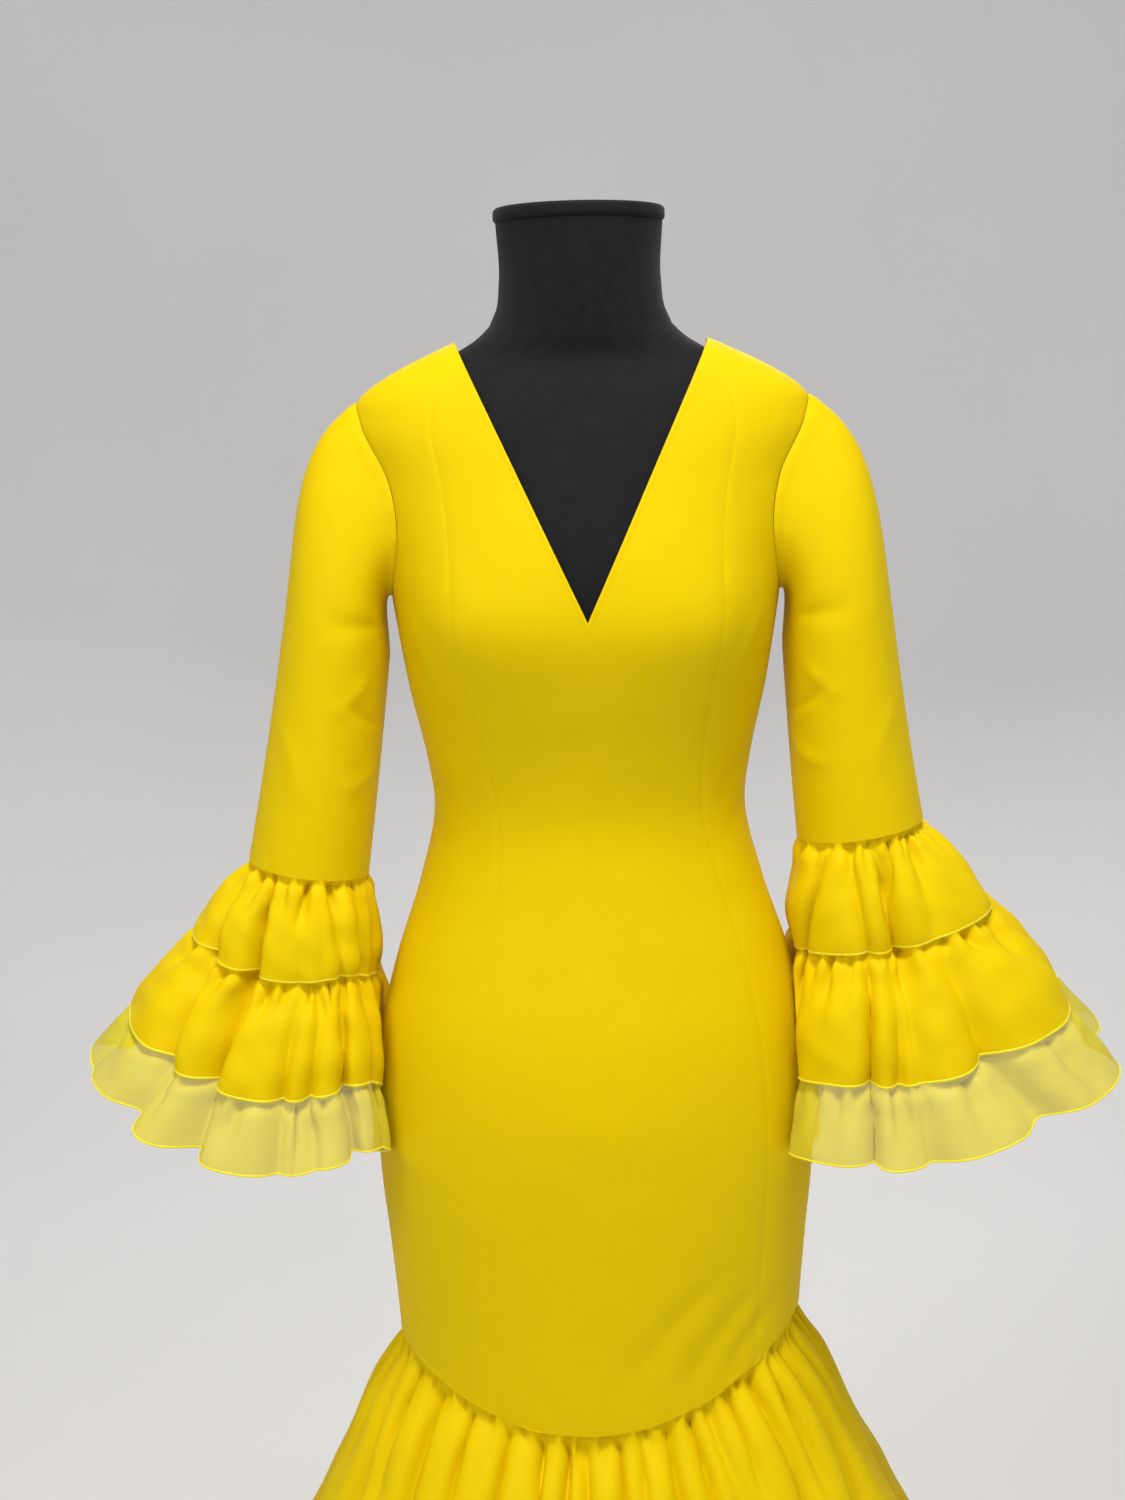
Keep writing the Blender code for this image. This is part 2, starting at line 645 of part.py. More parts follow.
def build_slider(frame, material, collection, cutters):
    """The slider: a plate on the zip, with a bridge that holds the pull."""
    plate_y = -HINGE_STAND - SLIDER_SIZE[1] / 2.0
    slider = box_object("zip_slider", (0.0, plate_y, 0.0), SLIDER_SIZE, material, collection)
    depth = HINGE_STAND + BRIDGE_ROOM + BRIDGE_SIZE[1]
    arch = box_object(
        "bridge_arch",
        (0.0, depth / 2.0 - HINGE_STAND - GAP, 0.0),
        (BRIDGE_SIZE[0], depth + GAP, BRIDGE_SIZE[2]),
        material,
        cutters,
    )
    opening = box_object(
        "bridge_opening",
        (0.0, (BRIDGE_ROOM - HINGE_STAND) / 2.0, 0.0),
        (2.0 * BRIDGE_SIZE[0], BRIDGE_ROOM + HINGE_STAND, BRIDGE_SIZE[2] - 2.0 * BRIDGE_LEG),
        material,
        cutters,
    )
    for item, operation in ((arch, "UNION"), (opening, "DIFFERENCE")):
        item.hide_render = True
        item.display_type = "WIRE"
        item.matrix_world = frame
        cut = slider.modifiers.new(item.name, "BOOLEAN")
        cut.operation = operation
        cut.object = item
    slider.matrix_world = frame


def build_pull(frame, material, collection):
    """The pull tab: a flat outline with a window that the bridge stands in."""
    outline = bpy.data.curves.new("zip_pull", "CURVE")
    outline.dimensions = "2D"
    outline.fill_mode = "BOTH"
    outline.extrude = PULL_TOP
    half, tip = PULL_WIDTH / 2.0, PULL_TIP_WIDTH / 2.0
    cut_across, cut_along = PULL_TIP_CUT
    shoulder = WINDOW_LENGTH + PULL_SHOULDER
    loops = (
        (
            (-half, PULL_TOP),
            (half, PULL_TOP),
            (half, -shoulder),
            (tip, cut_along - PULL_LENGTH),
            (tip - cut_across, -PULL_LENGTH),
            (cut_across - tip, -PULL_LENGTH),
            (-tip, cut_along - PULL_LENGTH),
            (-half, -shoulder),
        ),
        (
            (-WINDOW_WIDTH / 2.0, -PULL_TOP),
            (WINDOW_WIDTH / 2.0, -PULL_TOP),
            (WINDOW_WIDTH / 2.0, -WINDOW_LENGTH),
            (-WINDOW_WIDTH / 2.0, -WINDOW_LENGTH),
        ),
    )
    for loop in loops:
        spline = outline.splines.new("POLY")
        spline.points.add(len(loop) - 1)
        for point, (across, along) in zip(spline.points, loop):
            point.co = (across, along, 0.0, 1.0)
        spline.use_cyclic_u = True
    curve = bpy.data.objects.new("zip_pull_outline", outline)
    collection.objects.link(curve)
    bpy.context.view_layer.update()
    seen = curve.evaluated_get(bpy.context.evaluated_depsgraph_get())
    mesh = bpy.data.meshes.new_from_object(seen)
    bpy.data.objects.remove(curve, do_unlink=True)
    shape = bmesh.new()
    shape.from_mesh(mesh)
    bmesh.ops.remove_doubles(shape, verts=shape.verts, dist=0.00001)
    bmesh.ops.rotate(shape, verts=shape.verts, matrix=Matrix.Rotation(math.pi / 2.0, 3, "X"))
    bmesh.ops.recalc_face_normals(shape, faces=shape.faces)
    shape.to_mesh(mesh)
    shape.free()
    mesh.materials.clear()
    pull = add_object("zip_pull", mesh, material, collection)
    pull.matrix_world = frame


# --- the dress form ----------------------------------------------------------------------
def form_ring(height, inset, row=None):
    """Ring of the form: the dress's own section, moved in, or a row of the neck's table."""
    angles = [360.0 * column / FORM_COLUMNS for column in range(FORM_COLUMNS)]
    if row is None:
        return [body_point(angle, height, out=-inset) for angle in angles]
    half_width, front, back = row
    ring = []
    for angle in angles:
        turn = math.radians(angle)
        depth = front if math.cos(turn) > 0.0 else back
        ring.append(Vector((half_width * math.sin(turn), -depth * math.cos(turn), height)))
    return ring


def build_torso(material, collection):
    """The form from the hips to the top of the neck, with a rounded lower edge."""
    rows = [
        form_ring(FORM_BOTTOM, FORM_ROOM + FORM_ROUNDING),
        form_ring(FORM_BOTTOM + 0.3 * FORM_ROUNDING, FORM_ROOM + 0.3 * FORM_ROUNDING),
        form_ring(FORM_BOTTOM + FORM_ROUNDING, FORM_ROOM),
    ]
    start = FORM_BOTTOM + FORM_ROUNDING
    for step in range(1, TORSO_RINGS + 1):
        rows.append(form_ring(mix(start, FORM_TOP_OF_CHEST, step / TORSO_RINGS), FORM_ROOM))
    rows += [form_ring(height, 0.0, row) for height, *row in NECK_ROWS]
    mesh = loft_mesh("form_torso", rows, closed=True, caps=True)
    add_object("form_torso", mesh, material, collection)


def add_cylinder(name, radius, bottom, top, sides, material, collection):
    """Upright cylinder on the form's axis."""
    shape = bmesh.new()
    bmesh.ops.create_cone(
        shape, cap_ends=True, segments=sides, radius1=radius, radius2=radius, depth=top - bottom
    )
    mesh = bpy.data.meshes.new(name)
    shape.to_mesh(mesh)
    shape.free()
    item = add_object(name, mesh, material, collection)
    item.location = (0.0, 0.0, (bottom + top) / 2.0)
    return item


def build_neck_cap(material, collection):
    """The flat cap that closes the neck."""
    height, half_width, *_ = NECK_ROWS[-1]
    bottom = height + GAP
    cap = add_cylinder(
        "form_neck_cap",
        half_width + CAP_OVERHANG,
        bottom,
        bottom + CAP_HEIGHT,
        FORM_COLUMNS,
        material,
        collection,
    )
    for vertex in cap.data.vertices:
        vertex.co.y *= NECK_ROWS[-1][2] / half_width
    bevel = cap.modifiers.new("Rounding", "BEVEL")
    bevel.width = CAP_BEVEL
    bevel.segments = 2


def build_stand(material, collection):
    """Socket under the form, pole and round base."""
    socket_bottom = FORM_BOTTOM - GAP - SOCKET_HEIGHT
    pole_bottom = BASE_PROFILE[0][1] + GAP
    add_cylinder(
        "stand_socket", SOCKET_RADIUS, socket_bottom, FORM_BOTTOM - GAP,
        POLE_SIDES, material, collection,
    )
    add_cylinder(
        "stand_pole", POLE_RADIUS, pole_bottom, socket_bottom - GAP,
        POLE_SIDES, material, collection,
    )
    mesh = bpy.data.meshes.new("stand_base")
    points = [(radius, 0.0, height) for radius, height in BASE_PROFILE]
    mesh.from_pydata(points, [(step, step + 1) for step in range(len(points) - 1)], [])
    base = bpy.data.objects.new("stand_base", mesh)
    collection.objects.link(base)
    mesh.materials.append(material)
    screw = base.modifiers.new("Turned", "SCREW")
    screw.steps = BASE_STEPS
    screw.render_steps = BASE_STEPS
    screw.use_merge_vertices = True
    screw.merge_threshold = 0.00005
    screw.use_smooth_shade = False


def build():
    """Make the whole part."""
    clear_scene()
    collection = bpy.data.collections.new("flamenco_dress_on_form")
    cutters = bpy.data.collections.new("cutters")
    bpy.context.scene.collection.children.link(collection)
    bpy.context.scene.collection.children.link(cutters)
    crepe = make_material("yellow_crepe", (0.80, 0.62, 0.0), 0.62, sheen=0.2)
    organza = make_material("yellow_organza", (0.82, 0.76, 0.18), 0.45, alpha=0.6)
    jersey = make_material("black_jersey", (0.012, 0.012, 0.014), 0.85)
    steel = make_material("black_steel", (0.03, 0.03, 0.03), 0.4, metallic=0.6)
    enamel = make_material("yellow_enamel", (0.78, 0.60, 0.02), 0.35)
    for name, first, last, columns, armhole_edge in PANELS:
        build_panel(name, first, last, columns, armhole_edge, crepe, collection)
    for side in SLEEVE_ROWS:
        build_sleeve(side, crepe, collection)
        for tier, (name, *_) in enumerate(TIERS):
            build_tier(side, tier, organza if name == "organza" else crepe, collection)
    for name, first, last, columns in GORES:
        build_gore(name, first, last, columns, crepe, collection)
    frame = zip_frame()
    build_slider(frame, enamel, collection, cutters)
    build_pull(frame, enamel, collection)
    build_torso(jersey, collection)
    build_neck_cap(jersey, collection)
    build_stand(steel, collection)


build()
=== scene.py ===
"""Looks of the flamenco dress on its dress form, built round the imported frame."""
import math

import bmesh
import bpy
import numpy as np
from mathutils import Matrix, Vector


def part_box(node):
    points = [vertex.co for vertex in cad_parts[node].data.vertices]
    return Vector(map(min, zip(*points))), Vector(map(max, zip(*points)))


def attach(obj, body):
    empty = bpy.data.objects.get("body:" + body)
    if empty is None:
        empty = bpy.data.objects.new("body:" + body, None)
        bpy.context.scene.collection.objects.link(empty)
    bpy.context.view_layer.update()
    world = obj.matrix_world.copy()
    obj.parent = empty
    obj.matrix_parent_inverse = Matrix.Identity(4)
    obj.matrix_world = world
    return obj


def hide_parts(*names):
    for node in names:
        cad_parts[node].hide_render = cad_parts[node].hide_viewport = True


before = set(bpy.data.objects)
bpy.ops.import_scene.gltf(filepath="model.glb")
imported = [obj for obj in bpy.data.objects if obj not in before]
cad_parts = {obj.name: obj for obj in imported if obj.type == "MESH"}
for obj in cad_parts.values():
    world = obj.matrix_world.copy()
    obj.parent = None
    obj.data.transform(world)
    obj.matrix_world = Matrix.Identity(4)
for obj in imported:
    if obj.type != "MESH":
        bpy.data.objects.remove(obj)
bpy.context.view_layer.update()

BODY = "dress_and_form"

# --- sizes, in metres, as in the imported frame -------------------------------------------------
CREPE_WALL = 0.0008
ORGANZA_WALL = 0.0003
SEAM_GAP = 0.00004

BODY_ROWS = (                   # height, half_width, front_depth, back_depth
    (0.600, 0.160, 0.104, 0.102),
    (0.640, 0.162, 0.106, 0.104),
    (0.700, 0.165, 0.109, 0.108),
    (0.760, 0.170, 0.113, 0.113),
    (0.825, 0.176, 0.117, 0.118),
    (0.885, 0.176, 0.118, 0.119),
    (0.945, 0.170, 0.112, 0.114),
    (1.000, 0.156, 0.101, 0.101),
    (1.060, 0.136, 0.090, 0.084),
    (1.120, 0.123, 0.084, 0.075),
    (1.165, 0.129, 0.092, 0.079),
    (1.210, 0.139, 0.104, 0.086),
    (1.265, 0.148, 0.114, 0.093),
    (1.320, 0.156, 0.107, 0.096),
    (1.375, 0.167, 0.090, 0.090),
    (1.420, 0.178, 0.074, 0.078),
    (1.440, 0.171, 0.066, 0.070),
    (1.460, 0.141, 0.059, 0.062),
    (1.480, 0.097, 0.050, 0.053),
)
BUST_HEIGHT, BUST_ANGLE, BUST_RISE, BUST_SPREAD, BUST_SPAN = 1.265, 38.0, 0.011, 0.055, 24.0
CHEST, NECK_POINT, NECK_TIP, BACK_SCOOP = 1.200, 1.480, 1.272, 0.026
SHOULDER, ARMHOLE_MIDDLE = 1.436, 1.362
ARMHOLE_RISE = SHOULDER - ARMHOLE_MIDDLE
ARMHOLE_FRONT, ARMHOLE_BACK = 28.0, 25.0
TWIST, TWIST_TOP, TWIST_BOTTOM = 9.0, 1.240, 1.000
SEAM_SIDE, SEAM_DROP, SEAM_TILT, LOWEST_ROW = 0.692, 0.062, 0.010, 0.660
PRINCESS = 40.0
PANELS = (                      # node, first seam, last seam, columns, armhole edge
    ("panel_front_centre", -40.0, 40.0, 52, ""),
    ("panel_front_side_right", 40.0, 90.0, 30, "last"),
    ("panel_back_side_right", 90.0, 138.0, 28, "first"),
    ("panel_back_centre_right", 138.0, 180.0, 24, ""),
    ("panel_back_centre_left", 180.0, 222.0, 24, ""),
    ("panel_back_side_left", 222.0, 270.0, 28, "last"),
    ("panel_front_side_left", 270.0, 320.0, 30, "first"),
)

SLEEVE_ROWS = {                 # outer_x, outer_z, inner_x, inner_z, half_depth, middle_y
    "right": (
        (0.2405, 1.262, 0.1555, 1.238, 0.0580, -0.002),
        (0.2515, 1.178, 0.1600, 1.163, 0.0555, -0.006),
        (0.2635, 1.103, 0.1655, 1.088, 0.0530, -0.010),
    ),
    "left": (
        (0.2390, 1.256, 0.1570, 1.235, 0.0580, -0.002),
        (0.2545, 1.167, 0.1670, 1.152, 0.0555, -0.006),
        (0.2715, 1.081, 0.1785, 1.066, 0.0530, -0.010),
    ),
}
CAP_PULL_TOP, CAP_PULL_UNDERARM, CAP_FALL = 0.060, 0.014, 0.090
ARMHOLE_GAP = 0.4               # degrees between a sleeve's edge and its armhole, at the most
SLEEVE_LENGTH, SLEEVE_RADIUS, BODY_RADIUS = 0.36, 0.052, 0.145  # they turn creases into metres

TIERS = (                       # name, flare out, front, in, back, puff
    ("tier_1", 41.0, 14.0, 2.0, 24.0, 20.0),
    ("tier_2", 41.0, 17.0, 3.0, 26.0, 16.0),
    ("organza", 43.0, 20.0, 4.0, 28.0, 8.0),
)
TIER_LENGTHS = {"right": (0.087, 0.101, 0.060), "left": (0.083, 0.094, 0.057)}
SEAM_STRIP = 0.004
FOLDS_START = 0.25
HEM_LIFTS = {                   # angle, spread, share of the length that a tier is cut shorter
    "right": ((72.0, 30.0, -0.045), (22.0, 16.0, -0.030), (338.0, 20.0, 0.060)),
    "left": ((125.0, 30.0, 0.085), (4.0, 26.0, 0.105)),
}
CREPE_IN_CAD, HIP_ROOM = 0.0015, 0.0045
FULL_FOLD, DRAW = 0.014, 0.55   # depth at which a fold draws in fully, share that it draws in
SLEEVE_END_SLOPE = 5.0          # degrees from straight down
CUFF_FOLDS = {                  # angle at seam and hems, spread, lean, depth at each hem
    "right": (
        ((2.0, 3.0, 4.0, 4.0), 8.0, 1.5, 0.008, 0.020, 0.030),
        ((50.0, 54.0, 48.0, 42.0), 6.5, -2.5, 0.004, 0.020, 0.018),
        ((84.0, 72.0, 70.0, 69.0), 6.5, 1.0, 0.017, 0.008, 0.017),
        ((108.0, 94.0, 95.0, 96.0), 5.0, -2.5, 0.009, 0.019, 0.020),
        ((80.0, 80.0, 81.0, 78.0), 4.0, -1.0, 0.002, 0.012, 0.004),
        ((124.0, 145.0, 140.0, 138.0), 6.0, 2.0, 0.012, 0.012, 0.011),
        ((180.0, 180.0, 180.0, 180.0), 8.0, 0.0, 0.005, 0.006, 0.007),
        ((212.0, 210.0, 210.0, 212.0), 7.0, 2.0, 0.009, 0.012, 0.014),
        ((240.0, 240.0, 240.0, 240.0), 6.0, -2.0, 0.006, 0.015, 0.017),
        ((268.0, 270.0, 269.0, 268.0), 6.0, 2.0, 0.012, 0.011, 0.014),
        ((298.0, 300.0, 301.0, 300.0), 6.0, -2.0, 0.007, 0.016, 0.018),
        ((330.0, 332.0, 331.0, 332.0), 6.0, 2.0, 0.010, 0.010, 0.015),
    ),
    "left": (
        ((27.0, 30.0, 33.0, 29.0), 5.5, 2.0, 0.014, 0.019, 0.024),
        ((62.0, 57.0, 50.0, 50.0), 5.5, -1.0, 0.024, 0.026, 0.028),
        ((97.0, 88.0, 78.0, 78.0), 5.0, 1.0, 0.003, 0.012, 0.010),
        ((106.0, 103.0, 92.0, 93.0), 4.5, 1.5, 0.002, 0.012, 0.009),
        ((118.0, 118.0, 111.0, 112.0), 5.0, 2.0, 0.006, 0.017, 0.018),
        ((140.0, 142.0, 136.0, 134.0), 6.0, 2.0, 0.009, 0.010, 0.012),
        ((164.0, 162.0, 162.0, 164.0), 7.0, 0.0, 0.006, 0.009, 0.010),
        ((188.0, 188.0, 188.0, 188.0), 8.0, 0.0, 0.005, 0.006, 0.008),
        ((218.0, 216.0, 216.0, 218.0), 7.0, 2.0, 0.010, 0.014, 0.016),
        ((246.0, 246.0, 246.0, 246.0), 6.0, -2.0, 0.006, 0.012, 0.014),
        ((276.0, 277.0, 276.0, 276.0), 6.0, 2.0, 0.012, 0.016, 0.018),
        ((306.0, 308.0, 307.0, 306.0), 6.0, -2.0, 0.007, 0.012, 0.016),
        ((343.0, 345.0, 347.0, 347.0), 5.5, 2.0, 0.012, 0.020, 0.026),
    ),
}
CUFF_DENTS = {                  # tier, angle at its seam and end, spread, depth, how far down
    "right": (
        (0, 49.0, 54.0, 4.5, 0.0085, 0.044),
        (0, 70.0, 79.0, 5.0, 0.0085, 0.052),
        (0, 96.0, 92.0, 3.5, 0.0050, 0.030),
        (0, 33.0, 30.0, 4.0, 0.0045, 0.030),
        (1, 68.0, 66.0, 3.5, 0.0055, 0.030),
        (1, 104.0, 106.0, 3.5, 0.0050, 0.032),
        (1, 118.0, 119.0, 3.5, 0.0060, 0.040),
        (1, 130.0, 130.0, 3.5, 0.0045, 0.024),
        (1, 38.0, 34.0, 3.5, 0.0055, 0.036),
        (1, 24.0, 22.0, 3.5, 0.0050, 0.040),
        (2, 108.0, 109.0, 2.6, 0.0060, 0.030),
        (2, 120.0, 121.0, 2.6, 0.0045, 0.050),
        (2, 84.0, 83.0, 2.6, 0.0060, 0.040),
        (2, 58.0, 55.0, 2.6, 0.0080, 0.090),
        (2, 30.0, 27.0, 2.6, 0.0070, 0.050),
    ),
    "left": (
        (0, 97.0, 88.0, 4.0, 0.0075, 0.036),
        (0, 78.0, 75.0, 3.5, 0.0040, 0.022),
        (0, 120.0, 116.0, 4.0, 0.0055, 0.034),
        (0, 46.0, 45.0, 4.0, 0.0045, 0.028),
        (1, 72.0, 66.0, 3.5, 0.0065, 0.030),
        (1, 82.0, 78.0, 3.0, 0.0040, 0.020),
        (1, 96.0, 92.0, 3.0, 0.0045, 0.022),
        (1, 111.0, 108.0, 3.0, 0.0045, 0.022),
        (1, 44.0, 40.0, 3.5, 0.0060, 0.034),
        (1, 18.0, 16.0, 3.5, 0.0050, 0.040),
        (2, 64.0, 63.0, 2.6, 0.0060, 0.032),
        (2, 87.0, 86.0, 2.4, 0.0070, 0.080),
        (2, 99.0, 99.0, 2.6, 0.0060, 0.034),
        (2, 38.0, 38.0, 2.6, 0.0065, 0.046),
        (2, 12.0, 12.0, 2.6, 0.0070, 0.070),
    ),
}

FLOUNCE_HEM = 0.030
FLOUNCE_ROWS = (                # drop below the seam, spread beyond it, depth of the folds
    (0.000, 0.000, 0.000),
    (0.004, 0.000, 0.000),
    (0.050, 0.024, 0.009),
    (0.110, 0.050, 0.016),
    (0.180, 0.083, 0.024),
    (0.300, 0.137, 0.034),
    (0.440, 0.190, 0.042),
    (0.662, 0.246, 0.050),
)
FLOUNCE_FOLDS = (               # angle at the seam and lower, spread, lean, share of the depth
    (-92.0, -90.0, 7.0, 2.0, 0.80),
    (-74.0, -70.0, 6.0, -2.0, 0.85),
    (-52.0, -52.0, 6.5, -3.0, 1.00),
    (-27.0, -28.0, 6.0, -3.0, 0.95),
    (-5.0, -4.0, 5.5, 1.5, 0.85),
    (18.0, 19.0, 5.5, 2.0, 1.00),
    (31.0, 35.0, 5.5, 2.5, 0.60),
    (47.0, 51.0, 6.0, 3.0, 0.95),
    (62.0, 68.0, 6.0, 2.0, 0.80),
    (88.0, 88.0, 7.0, -2.0, 0.80),
    (112.0, 112.0, 7.0, 2.5, 0.95),
    (135.0, 135.0, 7.0, -2.0, 0.80),
    (158.0, 158.0, 7.0, 2.5, 1.00),
    (180.0, 180.0, 6.5, -1.5, 0.75),
    (202.0, 202.0, 7.0, 2.0, 1.00),
    (226.0, 226.0, 7.0, -2.5, 0.85),
    (249.0, 249.0, 7.0, 2.0, 0.95),
)
FLOUNCE_DRIFT = 0.15            # share of the length by which a fold has reached its lower angle
FLOUNCE_TUCKS = (               # angle at the seam and 0.1 m below, spread, depth, how far down
    (-83.0, -80.0, 2.6, 0.0070, 0.100),
    (-65.0, -62.0, 2.4, 0.0080, 0.120),
    (-39.0, -41.0, 2.4, 0.0085, 0.180),
    (-18.5, -17.5, 2.2, 0.0085, 0.140),
    (-11.0, -11.0, 2.2, 0.0095, 0.200),
    (4.0, 4.0, 2.4, 0.0100, 0.220),
    (10.0, 10.0, 2.2, 0.0070, 0.080),
    (25.0, 28.0, 2.6, 0.0100, 0.200),
    (38.0, 41.0, 2.2, 0.0070, 0.100),
    (54.0, 58.0, 2.4, 0.0085, 0.150),
    (70.0, 76.0, 2.4, 0.0075, 0.120),
)
GORES = (                       # node, first seam, last seam, columns
    ("flounce_front", -40.0, 59.5, 230),
    ("flounce_right", 59.5, 146.0, 180),
    ("flounce_back", 146.0, 214.0, 150),
    ("flounce_left", 214.0, 320.0, 215),
)

# --- creases placed one by one ----------------------------------------------------------------
BODY_CREASES = (                # angle, height of each end, width, rise (below 0 a trough)
    (38.0, 0.765, 4.0, 0.652, 0.0100, -0.0016),
    (50.0, 0.745, 21.0, 0.650, 0.0095, -0.0019),
    (60.0, 0.728, 33.0, 0.655, 0.0080, -0.0016),
    (-70.0, 0.860, -42.0, 0.835, 0.0100, 0.0010),
    (-20.0, 0.900, 20.0, 0.880, 0.0160, 0.0008),
    (-88.0, 1.165, -52.0, 1.125, 0.0070, -0.0014),
    (-86.0, 1.120, -58.0, 1.098, 0.0060, -0.0012),
    (88.0, 1.165, 50.0, 1.130, 0.0070, -0.0014),
    (86.0, 1.118, 55.0, 1.100, 0.0060, -0.0012),
    (-62.0, 1.285, -46.0, 1.215, 0.0070, 0.0012),
    (62.0, 1.285, 46.0, 1.210, 0.0070, 0.0012),
    (120.0, 1.160, 172.0, 1.128, 0.0075, -0.0016),
    (238.0, 1.165, 190.0, 1.120, 0.0075, -0.0016),
    (128.0, 1.118, 168.0, 1.098, 0.0065, -0.0013),
    (230.0, 1.112, 196.0, 1.096, 0.0065, -0.0013),
    (214.0, 0.780, 176.0, 0.680, 0.0090, 0.0016),
    (206.0, 0.760, 170.0, 0.672, 0.0080, -0.0016),
    (150.0, 0.740, 128.0, 0.690, 0.0080, 0.0012),
    (116.0, 1.285, 134.0, 1.215, 0.0080, 0.0012),
    (244.0, 1.285, 226.0, 1.215, 0.0080, 0.0012),
)
SLEEVE_CREASES = (              # angle, share of the length of each end, width, rise
    (150.0, 0.28, 70.0, 0.40, 0.0080, -0.0016),
    (200.0, 0.28, 285.0, 0.42, 0.0080, -0.0016),
    (140.0, 0.46, 95.0, 0.60, 0.0070, 0.0014),
    (165.0, 0.62, 100.0, 0.52, 0.0060, -0.0014),
    (170.0, 0.70, 110.0, 0.78, 0.0070, 0.0012),
    (200.0, 0.66, 260.0, 0.56, 0.0070, -0.0014),
    (40.0, 0.62, 80.0, 0.84, 0.0090, 0.0010),
    (330.0, 0.58, 290.0, 0.80, 0.0090, 0.0010),
)


# --- curves and surfaces, on whole arrays of points -------------------------------------------
def table_at(table, at):
    """Columns of a table at values of its first, on a smooth curve through its rows."""
    rows = np.array(table, dtype=float)
    keys, values = rows[:, 0], rows[:, 1:]
    at = np.clip(np.asarray(at, dtype=float), keys[0], keys[-1])
    slopes = np.gradient(values, keys, axis=0)
    low = np.clip(np.searchsorted(keys, at, side="right") - 1, 0, len(keys) - 2)
    span = keys[low + 1] - keys[low]
    t = (at - keys[low]) / span
    t, span = t[..., None], span[..., None]
    read = (
        (2 * t**3 - 3 * t**2 + 1) * values[low]
        + (t**3 - 2 * t**2 + t) * span * slopes[low]
        + (3 * t**2 - 2 * t**3) * values[low + 1]
        + (t**3 - t**2) * span * slopes[low + 1]
    )
    return np.moveaxis(read, -1, 0)


def mix(first, last, share):
    return first + (last - first) * share


def ease(share):
    share = np.clip(share, 0.0, 1.0)
    return share * share * (3.0 - 2.0 * share)


def turn_between(angle, other):
    """Degrees from one angle to another, the short way round."""
    return (angle - other + 180.0) % 360.0 - 180.0


def hump(distance, width):
    """Smooth bump, 1 in the middle."""
    return np.exp(-((distance / width) ** 2))


def normals(points, closed):
    """Unit normals of a grid of points, rows by columns."""
    if closed:
        across = np.roll(points, -1, axis=1) - np.roll(points, 1, axis=1)
    else:
        across = np.gradient(points, axis=1)
    down = np.gradient(points, axis=0)
    found = np.cross(across, down)
    return found / np.maximum(np.linalg.norm(found, axis=-1, keepdims=True), 1e-12)


def push(points, rise, closed):
    """Move a grid of points out along its own normals."""
    return points + normals(points, closed) * rise[..., None]


def cups(angle, height):
    """How much of the bust a height has, and how much of it an angle has, each up to 1."""
    sides = hump(turn_between(angle, BUST_ANGLE), BUST_SPAN)
    sides = sides + hump(turn_between(angle, -BUST_ANGLE), BUST_SPAN)
    return hump(height - BUST_HEIGHT, BUST_SPREAD), sides


def body_point(angle, height, out=0.0):
    """Point of the body at an angle from the front, moved out along the section."""
    half_width, front, back = table_at(BODY_ROWS, height)
    turn = np.radians(angle)
    depth = np.where(np.cos(turn) > 0.0, front, back)
    level, sides = cups(angle, height)
    out = out + BUST_RISE * level * sides
    normal_x, normal_y = depth * np.sin(turn), -half_width * np.cos(turn)
    size = np.hypot(normal_x, normal_y)
    x = half_width * np.sin(turn) + normal_x / size * out
    y = -depth * np.cos(turn) + normal_y / size * out
    return np.stack(np.broadcast_arrays(x, y, height), axis=-1)


def seam_height(angle):
    """Height of the curved seam between the body and the flounce."""
    turn = np.radians(angle)
    return SEAM_SIDE - SEAM_DROP * np.cos(turn) ** 2 + SEAM_TILT * np.sin(turn)


def neckline(angle):
    """Height of the neck edge: a straight V in front, a shallow scoop behind."""
    turn = np.radians(angle)
    neck_half = abs(body_point(np.array(90.0), np.array(NECK_POINT))[0])
    low = np.full(np.shape(turn), NECK_TIP)
    high = np.full(np.shape(turn), NECK_POINT)
    for _ in range(30):
        middle = (low + high) / 2.0
        line = mix(NECK_TIP, NECK_POINT, abs(body_point(angle, middle)[..., 0]) / neck_half)
        below = middle < line
        low, high = np.where(below, middle, low), np.where(below, high, middle)
    behind = NECK_POINT - BACK_SCOOP * np.cos(turn) ** 2
    return np.where(np.cos(turn) <= 0.0, behind, (low + high) / 2.0)


def row_height(angle, level):
    """True height of a panel's row, given its height at the side of the body."""
    bottom = seam_height(angle) + SEAM_GAP
    top = neckline(angle)
    share = (SHOULDER - CHEST) / (neckline(np.array(PRINCESS)) - CHEST)
    inner = np.abs(turn_between(angle, 0.0)) < PRINCESS
    cap = np.where(inner, mix(CHEST, top, share), SHOULDER)
    low = mix(bottom, CHEST, (level - LOWEST_ROW) / (CHEST - LOWEST_ROW))
    middle = mix(CHEST, cap, (level - CHEST) / (SHOULDER - CHEST))
    high = mix(cap, top, (level - SHOULDER) / (NECK_POINT - SHOULDER))
    return np.where(level <= CHEST, low, np.where(level <= SHOULDER, middle, high))


def notch(height, reach):
    """Degrees that the armhole cuts into a side panel at a height."""
    across = (height - ARMHOLE_MIDDLE) / ARMHOLE_RISE
    return reach * np.sqrt(np.maximum(0.0, 1.0 - across * across))


def twist(height):
    """Degrees that the skirt has turned on the form."""
    return TWIST * ease((TWIST_TOP - height) / (TWIST_TOP - TWIST_BOTTOM))


